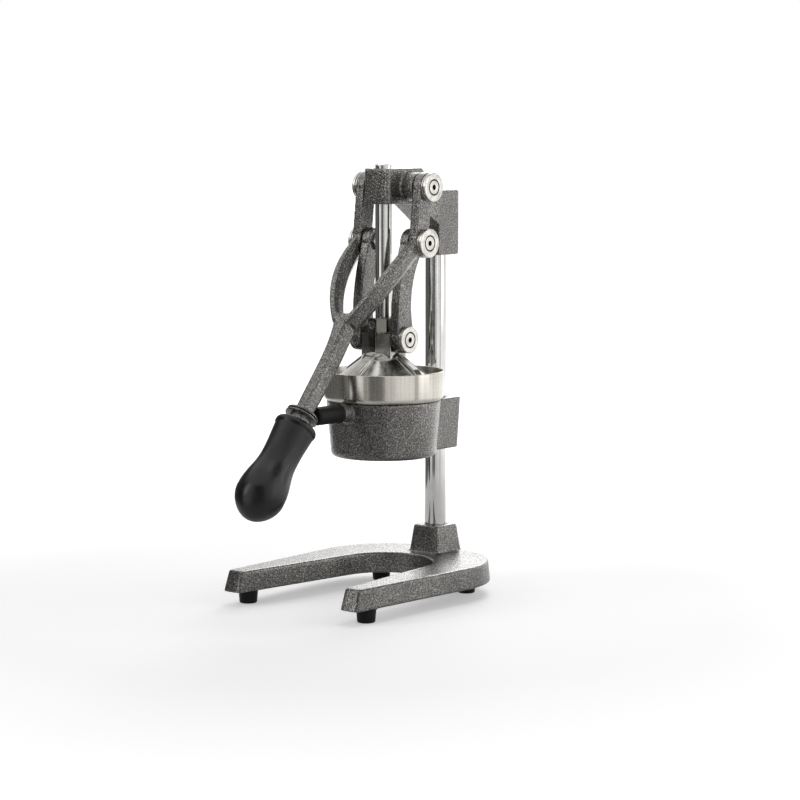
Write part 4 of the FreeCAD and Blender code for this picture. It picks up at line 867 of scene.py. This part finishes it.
@dataclass
class JuiceBowl:
    """Cast bowl on the column, with its peg and sleeve, the pan, the funnel and the reamer."""

    skin: tuple[float, int] = (0.9, 5)
    reamer_skin: tuple[float, int] = (0.6, 3)
    peg_z: float = 175.3
    peg_root: float = 9.0
    bowl_side: float = 52.0
    sleeve_near: float = 62.5
    sleeve_far: float = 96.5
    sleeve_radius: float = 9.2
    peg_radius: float = 6.5
    peg_end: float = 89.0
    metal: float = 1.5
    pan_radius: float = 56.0
    pan_top: float = 210.0
    pan_floor: float = 176.5
    bowl_top: float = 183.0
    sump_radius: float = 46.8
    slots: int = 28
    slot_width: float = 2.2
    slot_reach: Pair = (35.5, 43.5)
    tool_height: float = 8.0
    screw_hole: float = 3.0
    spout: float = 18.5
    spout_end: float = 131.8
    funnel_metal: float = 1.2
    funnel_seat: Pair = (136.0, 27.0)
    funnel_rim: Pair = (171.0, 45.5)

    def build(self, shop: Workshop) -> None:
        """Makes every piece of the bowl."""
        shop.cast("cast_bowl", "bowl_bracket", Slot.HAMMERED, Body.STAND, self.skin,
                  (self.root(),))
        shop.add("peg_sleeve", placed(self.sleeve(), self.peg_frame()), Slot.RUBBER, Body.STAND,
                 "stop_sleeve")
        shop.add("juice_pan", self.pan(), Slot.BRUSHED, Body.STAND, "strainer_pan")
        shop.add("juice_funnel", placed(self.funnel(), LINKAGE.upright()), Slot.BRUSHED,
                 Body.STAND, "drip_funnel")
        shop.cast("ribbed_reamer", "reamer_cone", Slot.ALUMINIUM, Body.STAND, self.reamer_skin)

    def peg_frame(self) -> Matrix:
        """Frame whose Z runs forward along the peg from the press axis."""
        return LINKAGE.upright(0.0, self.peg_z) @ turn(90, "X")

    def root(self) -> Shape:
        """The cone that blends the peg into the bowl's wall."""
        start, end = self.bowl_side - 5, self.sleeve_near - 0.2
        cone = lathe([(start, 0.0), (start, self.peg_root), (self.bowl_side + 1, self.peg_root),
                      (end, self.peg_radius + 0.6), (end, 0.0)], 48)
        return placed(cone, self.peg_frame())

    def sleeve(self) -> Shape:
        """Rubber sleeve with a bead at its mouth and a blind rounded end."""
        near, far, radius = self.sleeve_near, self.sleeve_far, self.sleeve_radius
        return lathe([
            (self.peg_end, 0.0), (self.peg_end, self.peg_radius), (near, self.peg_radius, 0.4),
            (near, radius, 1.4), (near + 3.0, radius, 1.2), (near + 3.8, radius - 1.3, 0.7),
            (near + 9.0, radius - 0.9, 2.0), (far, radius - 0.9, 3.6), (far, 0.0),
        ], 80)

    def pan(self) -> Shape:
        """Spun pan: wall, shelf on the bowl's rim and a slotted well."""
        inside, well = self.pan_radius - self.metal, self.sump_radius - self.metal
        shelf, floor = self.bowl_top + self.metal, self.pan_floor + self.metal
        shell = lathe([
            (self.pan_floor, self.screw_hole), (self.pan_floor, self.sump_radius, 1.4),
            (self.bowl_top, self.sump_radius, 0.6), (self.bowl_top, self.pan_radius, 5.0),
            (self.pan_top, self.pan_radius, 0.7), (self.pan_top, inside, 0.7),
            (shelf, inside, 3.5), (shelf, well, 1.2), (floor, well, 0.6),
            (floor, self.screw_hole),
        ], 192, ring=True)
        return cut(placed(shell, LINKAGE.upright()), self.slot_tool())

    def slot_tool(self) -> Shape:
        """All the juice slots as one tool."""
        tool = bmesh.new()
        inner, outer = self.slot_reach
        middle, half = (inner + outer) / 2, (outer - inner) / 2
        for number in range(self.slots):
            made = bmesh.ops.create_circle(tool, cap_ends=True, radius=self.slot_width / 2,
                                           segments=16)
            for vertex in made["verts"]:
                vertex.co.x += math.copysign(half, vertex.co.x) if abs(vertex.co.x) > 1e-6 else half
            face = next(iter(made["verts"][0].link_faces))
            wall = bmesh.ops.extrude_face_region(tool, geom=[face])["geom"]
            top = [item for item in wall if isinstance(item, bmesh.types.BMVert)]
            bmesh.ops.translate(tool, vec=(0, 0, self.tool_height), verts=top)
            spot = (Matrix.Rotation(math.tau * number / self.slots, 4, "Z")
                    @ Matrix.Translation((middle, 0, self.pan_floor - 3)))
            bmesh.ops.transform(tool, matrix=spot, verts=made["verts"] + top)
        bmesh.ops.recalc_face_normals(tool, faces=tool.faces)
        return placed(tool, LINKAGE.upright())

    def funnel(self) -> Shape:
        """Sheet funnel that leads the juice to the spout."""
        metal, bore = self.funnel_metal, self.spout - self.funnel_metal
        (seat_z, seat), (rim_z, rim) = self.funnel_seat, self.funnel_rim
        return lathe([
            (self.spout_end, bore), (self.spout_end, self.spout, 0.4), (seat_z, self.spout),
            (seat_z, seat, 1.0), (rim_z, rim, 0.5), (rim_z, rim - metal * 1.25, 0.5),
            (seat_z + metal, seat - metal * 0.6, 1.0), (seat_z + metal, bore, 0.8),
        ], 128, ring=True)


@dataclass
class PressingHead:
    """Guide rod and the ribbed cup that comes down over the reamer.

    The flare gives, along the cup's skin, a radius, its height and how far the skin drops there.
    """

    skin: tuple[float, int] = (0.6, 3)
    rod_radius: float = 7.5
    rod_foot: float = 231.0
    rod_top: float = 399.0
    chamfer: float = 1.2
    centre_radius: float = 2.4
    screw_z: float = 252.6
    screw_radius: float = 3.0
    screw_face: float = 15.5
    screw_socket: Pair = (3.0, 2.5)
    root_bore: float = 9.0
    root_foot: Pair = (220.4, 20.3)
    root_top: Pair = (230.5, 15.2)
    flare: tuple[Triple, ...] = ((20.6, 222.0, 1.2), (39.0, 210.0, 3.0), (44.5, 206.5, 2.0))

    def root(self) -> Shape:
        """The fillet that blends the hub into the flare, with the rod's bore in it."""
        (foot_z, foot), (top_z, top), bore = self.root_foot, self.root_top, self.root_bore
        ring = lathe([(foot_z, bore), (foot_z, foot), (top_z, top), (top_z, bore)], 64, ring=True)
        return placed(ring, LINKAGE.upright())

    def lowered(self, local: Vector) -> Optional[Vector]:
        """Drops a vertex of the flare's skin between the ribs, and leaves any other."""
        radius = math.hypot(local.x, local.y)
        for (inner, top, first), (outer, bottom, last) in zip(self.flare, self.flare[1:]):
            share = (radius - inner) / (outer - inner)
            if -0.01 < share < 1.01 and abs(local.z - top - share * (bottom - top)) < 0.1:
                local.z -= first + share * (last - first)
                return local
        return None

    def build(self, shop: Workshop) -> None:
        """Makes the cup, the rod and its set screw."""
        shop.cast("pressing_cup", "press_head", Slot.ALUMINIUM, Body.HEAD, self.skin,
                  (self.root(),), lambda shape: shifted(shape, LINKAGE.upright(), self.lowered))
        rod = lathe([
            (self.rod_foot, 0.0), (self.rod_foot, self.rod_radius, self.chamfer),
            (self.rod_top, self.rod_radius, self.chamfer),
            (self.rod_top, self.centre_radius, 0.3),
            (self.rod_top - self.centre_radius * 1.6, 0.0),
        ], 112)
        shop.add("guide_shaft", placed(rod, LINKAGE.upright()), Slot.CHROME, Body.HEAD,
                 "guide_rod")
        screw = hex_screw(self.screw_radius, self.screw_face - self.rod_radius, *self.screw_socket)
        place = LINKAGE.upright(-self.screw_face, self.screw_z) @ turn(90, "X")
        shop.add("shaft_screw", placed(screw, place), Slot.PLAIN_STEEL, Body.HEAD, "rod_set_screw")


@dataclass
class Lever:
    """Forked lever with its collar and grip."""

    skin: tuple[float, int] = (0.8, 2)
    eye: float = 13.5
    web: float = 8.0
    strap: Pair = (-13.2, 4.0)
    strap_inside: float = 28.5
    collar: Pair = (193.6, 198.6)
    collar_radius: float = 15.4
    collar_waist: float = 12.6
    collar_bore: float = 7.9
    neck: float = 10.4
    neck_end: float = 209.0
    mouth: Pair = (206.0, 16.6)
    flare: Pair = (211.0, 19.6)
    waist: Pair = (241.0, 17.0)
    bulb: Pair = (281.0, 22.5)
    end: float = 305.6
    end_handle: float = 11.6
    tang: float = 6.0
    insert: float = 9.0
    insert_start: float = 239.0
    tang_end: float = 265.0

    def build(self, shop: Workshop) -> None:
        """Makes the fork, the collar on it and the grip."""
        shop.cast("lever_fork", "lever_yoke", Slot.HAMMERED, Body.LEVER, self.skin,
                  (self.stem(),), self.reshape)
        shop.add("lever_collar", placed(self.ring(), LINKAGE.along_lever()), Slot.HAMMERED,
                 Body.LEVER, "lever_yoke")
        shop.add("lever_grip", placed(self.grip(), LINKAGE.along_lever()), Slot.GRIP, Body.LEVER,
                 "grip", 50.0)

    def reshape(self, shape: Shape) -> None:
        """Gives the copy of the yoke its cast straps, and makes room for the separate collar."""
        shifted(shape, LINKAGE.along_crank(), self.strapped)
        shifted(shape, LINKAGE.along_lever(), self.drawn_in)

    def strapped(self, local: Vector) -> Optional[Vector]:
        """Moves the straps between the upper eyes forward, until they touch the eyes' fronts."""
        length = math.dist(LINKAGE.pivot_a, LINKAGE.pivot_b)
        corner = math.sqrt(self.eye ** 2 - self.web ** 2)
        upper = local.z > length / 2
        along = length - local.z if upper else local.z
        if (abs(local.x) < self.strap_inside or abs(abs(local.y) - self.web) > 0.1
                or abs(along - corner) > 0.3):
            return None
        local.y = self.strap[0] if local.y < 0 else self.strap[1]
        reach = math.sqrt(self.eye ** 2 - local.y ** 2)
        local.z = length - reach if upper else reach
        return local

    def drawn_in(self, local: Vector) -> Optional[Vector]:
        """Draws the collar's rim in to the neck, where the separate ring takes its place."""
        start, end = self.collar
        radius = math.hypot(local.x, local.y)
        if not (start - 1.0 < local.z < end + 1.0 and radius > self.neck):
            return None
        local.x *= self.neck / radius
        local.y *= self.neck / radius
        return local

    def stem(self) -> Shape:
        """The round neck under the collar, which runs into the grip's mouth."""
        start, end = self.collar[0], self.neck_end
        stem = lathe([(start, 0.0), (start, self.neck), (end, self.neck), (end, 0.0)], 48)
        return placed(stem, LINKAGE.along_lever())

    def ring(self) -> Shape:
        """The collar: two rounded flanges with a groove between them."""
        (start, end), radius, waist = self.collar, self.collar_radius, self.collar_waist
        middle, bore = (start + end) / 2, self.collar_bore
        return lathe([
            (start, bore), (start, radius - 0.4, 0.9), (middle - 0.5, radius - 0.4, 0.9),
            (middle - 0.5, waist, 0.3), (middle + 0.5, waist, 0.3), (middle + 0.5, radius, 0.9),
            (end, radius, 0.9), (end, bore),
        ], 80, ring=True)

    def grip(self) -> Shape:
        """Moulded grip: flat mouth with a rolled lip, waist and bulb."""
        (mouth, mouth_r), (flare, flare_r) = self.mouth, self.flare
        (waist, waist_r), (bulb, bulb_r) = self.waist, self.bulb
        shoulder = flare_r - 1.0
        outside = curve_profile(
            ((mouth, mouth_r), (mouth, mouth_r + 2.2), (flare - 3.4, flare_r),
             (flare - 1.0, flare_r)),
            ((flare - 1.0, flare_r), (flare + 0.6, flare_r), (flare + 1.0, shoulder),
             (flare + 2.6, shoulder)),
            ((flare + 2.6, shoulder), (flare + 12.0, shoulder - 0.6), (waist - 12.0, waist_r),
             (waist, waist_r)),
            ((waist, waist_r), (waist + 17.0, waist_r), (bulb - 18.0, bulb_r), (bulb, bulb_r)),
            ((bulb, bulb_r), (bulb + 11.5, bulb_r), (self.end, self.end_handle), (self.end, 0.0)))
        room, bore = self.neck_end + 0.5, self.neck + 0.5
        return lathe([
            (self.tang_end, 0.0), (self.tang_end, self.insert),
            (self.insert_start, self.insert), (self.insert_start, self.tang), (room, self.tang),
            (room, bore), (mouth, bore, 0.4),
            *outside,
        ], 96)


@dataclass
class LinkPair:
    """The two curved links between the lever and the head."""

    skin: tuple[float, int] = (0.7, 3)
    bodies: dict[Side, Body] = field(default_factory=lambda: {
        Side.LEFT: Body.LEFT_LINK, Side.RIGHT: Body.RIGHT_LINK})

    def build(self, shop: Workshop) -> None:
        """Makes both links."""
        for side, body in self.bodies.items():
            shop.cast(f"link_plate_{side.word}", f"link_{side.word}", Slot.HAMMERED, body,
                      self.skin)


@dataclass
class PivotBolt:
    """One kind of pivot bolt: grooved disc head, shoulder and thread, outward along Z."""

    face: float
    thick: float
    head: float
    shoulder_end: float
    thread_end: float
    edge: float = 0.9
    washer: float = 1.2
    gap: float = 0.7
    gap_depth: float = 1.7
    groove: Pair = (6.2, 7.5)
    groove_depth: float = 1.2
    socket: float = 2.4
    socket_depth: float = 3.5
    shoulder: float = 6.0
    thread: float = 5.0

    def shape(self) -> Shape:
        """Spins the bolt with the washer under its head; marks hollows for painted shade."""
        outer, lip = self.face + self.thick, self.face + self.washer
        inner_groove, outer_groove = self.groove
        under, neck, rim = lip + self.gap, self.head - self.gap_depth, self.head - 0.3
        groove_floor, socket_floor = outer - self.groove_depth, outer - self.socket_depth
        foot: list[Corner] = [(self.thread_end, 0.0)]
        if self.thread_end < self.shoulder_end:
            foot += [(self.thread_end, self.thread, 0.6), (self.shoulder_end, self.thread)]
        bolt = lathe(foot + [
            (self.shoulder_end, self.shoulder), (self.face, self.shoulder),
            (self.face, rim, 0.25), (lip, rim, 0.25), (lip, neck), (under, neck),
            (under, self.head, 0.3), (outer, self.head, self.edge), (outer, outer_groove, 0.1),
            (groove_floor, outer_groove), (groove_floor, inner_groove),
            (outer, inner_groove, 0.1), (outer, self.socket, 0.3), (socket_floor, self.socket),
            (socket_floor, 0.0),
        ], 96)
        # Marks the grooves, the socket and the gap under the head, where the finish paints shade.
        layer = bolt.verts.layers.float.new("recess")
        for vertex in bolt.verts:
            radius, height = math.hypot(vertex.co.x, vertex.co.y), vertex.co.z
            sunk = height < outer - 0.5 * self.groove_depth and radius < outer_groove + 0.05
            hidden = self.face < height < under + 0.05 and radius < neck + 0.05
            vertex[layer] = 1.0 if height > self.face and (sunk or hidden) else 0.0
        return bolt


@dataclass
class PivotBolts:
    """The six pivot bolts."""

    upper: PivotBolt = field(default_factory=lambda: PivotBolt(38.8, 5.1, 13.2, 28.0, 5.0))
    middle: PivotBolt = field(default_factory=lambda: PivotBolt(38.8, 5.1, 13.2, 28.0, 28.0))
    lower: PivotBolt = field(default_factory=lambda: PivotBolt(28.0, 4.0, 12.3, 18.0, 9.5))

    def build(self, shop: Workshop) -> None:
        """Makes a bolt of each kind on each side."""
        kinds = (("top", self.upper, LINKAGE.pivot_a, Body.STAND),
                 ("middle", self.middle, LINKAGE.pivot_b, Body.LEVER),
                 ("lower", self.lower, LINKAGE.pivot_c, Body.HEAD))
        for word, bolt, pivot, body in kinds:
            for side in Side:
                name = f"{word}_{side.word}"
                shop.add(f"pivot_bolt_{name}", placed(bolt.shape(), LINKAGE.across(pivot, side)),
                         Slot.TURNED, body, f"bolt_{name}")


# ---------------------------------------------------------------- studio


@dataclass
class Studio:
    """White sweep, soft boxes, grey cards and the camera that took the photograph.

    Lengths are in metres. A box has a place, a width and height, and a power. A flag has an azimuth
    and half of the angle it covers in degrees, a distance and a colour. The floor's two ranges run
    over the distance from the origin.
    """

    floor_size: float = 30.0
    floor_drop: float = 0.0001
    fill: float = 0.24
    mirrored: Range = (0.3, 0.8, 0.6, 0.95)
    lifted: Range = (0.35, 1.6, 0.36, 1.0)
    papers: tuple[str, str] = ("#686868", "#f2f2f2")
    card_height: float = 0.46
    eye: Triple = (1.4713, -1.69706, 0.4369)
    look: Triple = (-0.636, 0.764, -0.111)
    lens: float = 111.97
    lamp_aim: Triple = (0.0, 0.0, 0.2)
    boxes: tuple[tuple[str, Triple, Pair, float], ...] = (
        ("top_box", (0.1, 0.5, 1.8), (1.2, 1.2), 7.0),
        ("back_box", (-0.75, 1.45, 1.15), (0.9, 1.4), 11.0),
        ("right_box", (1.7, 1.0, 0.9), (1.2, 1.6), 7.5),
        ("left_box", (-1.0, -1.6, 1.1), (0.6, 1.4), 7.0),
        ("front_box", (1.5, -1.3, 0.5), (0.8, 0.5), 2.0),
    )
    flags: tuple[tuple[str, float, float, float, str], ...] = (
        ("flag_camera", -62.0, 15.0, 0.42, "#727272"),
        ("flag_camera_wing", -37.0, 9.0, 0.42, "#dcdcdc"),
        ("flag_camera_edge", -82.0, 4.0, 0.42, "#989898"),
        ("flag_side", 12.0, 4.5, 0.42, "#c4c4c4"),
        ("flag_left", -121.5, 9.5, 0.42, "#242424"),
        ("flag_far_left", -160.0, 36.0, 0.46, "#666666"),
    )
    ceiling: tuple[Triple, float, str] = ((0.6, 0.85, 1.25), 1.6, "#6a6a6a")

    def build(self) -> None:
        """Makes the world, floor, lamps, cards and camera."""
        self.world()
        self.floor()
        for box in self.boxes:
            self.soft_box(*box)
        for flag in self.flags:
            self.flag(*flag)
        place, spread, tint = self.ceiling
        self.card("flag_ceiling", Matrix.Translation(place) @ Matrix.Scale(spread, 4), tint)
        self.camera()

    def seen(self, tree: Tree, mirror: Optional[bpy.types.Node] = None) -> bpy.types.Node:
        """How much a ray shows of the white background.

        Args:
            tree: the material's or world's node tree.
            mirror: what a reflected or refracted ray gets, one if it is left out.

        Returns:
            One for a camera ray, mirror for a reflected or refracted ray, zero for any other.
        """
        path = add_node(tree, "LightPath", {}, {})
        share = add_node(tree, "Math", {"operation": "MAXIMUM"}, {
            0: path.outputs["Is Glossy Ray"], 1: path.outputs["Is Transmission Ray"]})
        if mirror is not None:
            share = add_node(tree, "Math", {"operation": "MULTIPLY"}, {0: share, 1: mirror})
        return add_node(tree, "Math", {"operation": "MAXIMUM"},
                        {0: path.outputs["Is Camera Ray"], 1: share})

    def world(self) -> None:
        """White where it is seen, and a plain fill elsewhere."""
        world = bpy.data.worlds.new("sweep")
        bpy.context.scene.world = world
        tree = bare_tree(world)
        level = add_node(tree, "MapRange", {"To Min": self.fill, "To Max": 1.0},
                         {"Value": self.seen(tree)})
        light = add_node(tree, "Background", {"Color": colour("#ffffff")}, {"Strength": level})
        add_node(tree, "OutputWorld", {}, {"Surface": light})

    def floor(self) -> None:
        """Matt white floor that keeps the shadow and shows less in reflections near the object."""
        shape = bmesh.new()
        bmesh.ops.create_grid(shape, x_segments=1, y_segments=1, size=self.floor_size / 2)
        floor = in_scene("floor", as_mesh(shape, "floor"))
        floor.location.z = -self.floor_drop
        material = bpy.data.materials.new("matt_white_sweep")
        tree = bare_tree(material)
        place = add_node(tree, "TexCoord", {}, {})
        away = add_node(tree, "VectorMath", {"operation": "LENGTH"},
                        {0: place.outputs["Object"]}).outputs["Value"]
        mirror = add_node(tree, "MapRange", dict(zip(RANGE, self.mirrored)), {"Value": away})
        seen = self.seen(tree, mirror)
        near, far = self.papers
        shown = add_node(tree, "Mix", {"data_type": "RGBA", 6: colour(near), 7: colour(far)},
                         {"Factor": seen})
        paper = add_node(tree, "BsdfDiffuse", {}, {"Color": shown.outputs[2]})
        level = add_node(tree, "MapRange", dict(zip(RANGE, self.lifted)), {"Value": away})
        glow = add_node(tree, "Math", {"operation": "MULTIPLY"}, {0: seen, 1: level})
        lift = add_node(tree, "Emission", {"Color": colour("#ffffff")}, {"Strength": glow})
        both = add_node(tree, "AddShader", {}, {0: paper, 1: lift})
        add_node(tree, "OutputMaterial", {}, {"Surface": both})
        floor.data.materials.append(material)

    def soft_box(self, name: str, place: Triple, spread: Pair, power: float) -> None:
        """A rectangular lamp turned to the middle of the object."""
        lamp = bpy.data.lights.new(name, "AREA")
        lamp.shape = "RECTANGLE"
        lamp.size, lamp.size_y = spread
        lamp.energy = power
        holder = in_scene(name, lamp)
        holder.location = place
        aim = Vector(self.lamp_aim) - Vector(place)
        holder.rotation_euler = aim.to_track_quat("-Z", "Y").to_euler()

    def flag(self, name: str, azimuth: float, half: float, distance: float, tint: str) -> None:
        """An upright card around the press axis, which draws a line on bright metal.

        Args:
            name: the card's name.
            azimuth: its direction from the press axis, in degrees from +X towards +Y.
            half: half of the angle it covers.
            distance: how far away it stands, in metres.
            tint: its colour.
        """
        width = 2 * distance * math.tan(math.radians(half))
        stand = (Matrix.Translation((0, LINKAGE.press_y * MM, 0)) @ turn(azimuth, "Z")
                 @ Matrix.Translation((distance, 0, self.card_height / 2)) @ turn(90, "Y")
                 @ Matrix.Diagonal((self.card_height, width, 1.0, 1.0)))
        self.card(name, stand, tint)

    def card(self, name: str, stand: Matrix, tint: str) -> None:
        """A one metre square card that only reflections see, placed and scaled by stand."""
        shape = bmesh.new()
        bmesh.ops.create_grid(shape, x_segments=1, y_segments=1, size=0.5)
        bmesh.ops.transform(shape, matrix=stand, verts=shape.verts)
        card = in_scene(name, as_mesh(shape, name))
        material = bpy.data.materials.new(name)
        tree = bare_tree(material)
        felt = add_node(tree, "Emission", {"Color": colour(tint), "Strength": 1.0}, {})
        add_node(tree, "OutputMaterial", {}, {"Surface": felt})
        card.data.materials.append(material)
        card.visible_camera = False
        card.visible_diffuse = False
        card.visible_transmission = False
        card.visible_shadow = False

    def camera(self) -> None:
        """The photograph's camera."""
        lens = bpy.data.cameras.new("camera")
        lens.lens = self.lens
        lens.sensor_width = 36.0
        lens.clip_end = 100.0
        holder = in_scene("camera", lens)
        holder.location = self.eye
        holder.rotation_euler = Vector(self.look).to_track_quat("-Z", "Y").to_euler()
        bpy.context.scene.camera = holder


def main() -> None:
    """Builds the press and its studio around the frame."""
    logging.basicConfig(level=logging.INFO, format="%(message)s")
    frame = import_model()
    bpy.context.scene.view_settings.view_transform = "Standard"
    shop = Workshop(frame)
    shop.dress_frame()
    for assembly in (Base(), Post(), JuiceBowl(), PressingHead(), Lever(), LinkPair(),
                     PivotBolts()):
        LOG.info("building %s", type(assembly).__name__)
        assembly.build(shop)
    LOG.info("%d pieces made", shop.made)
    Studio().build()


if __name__ == "__main__":
    main()
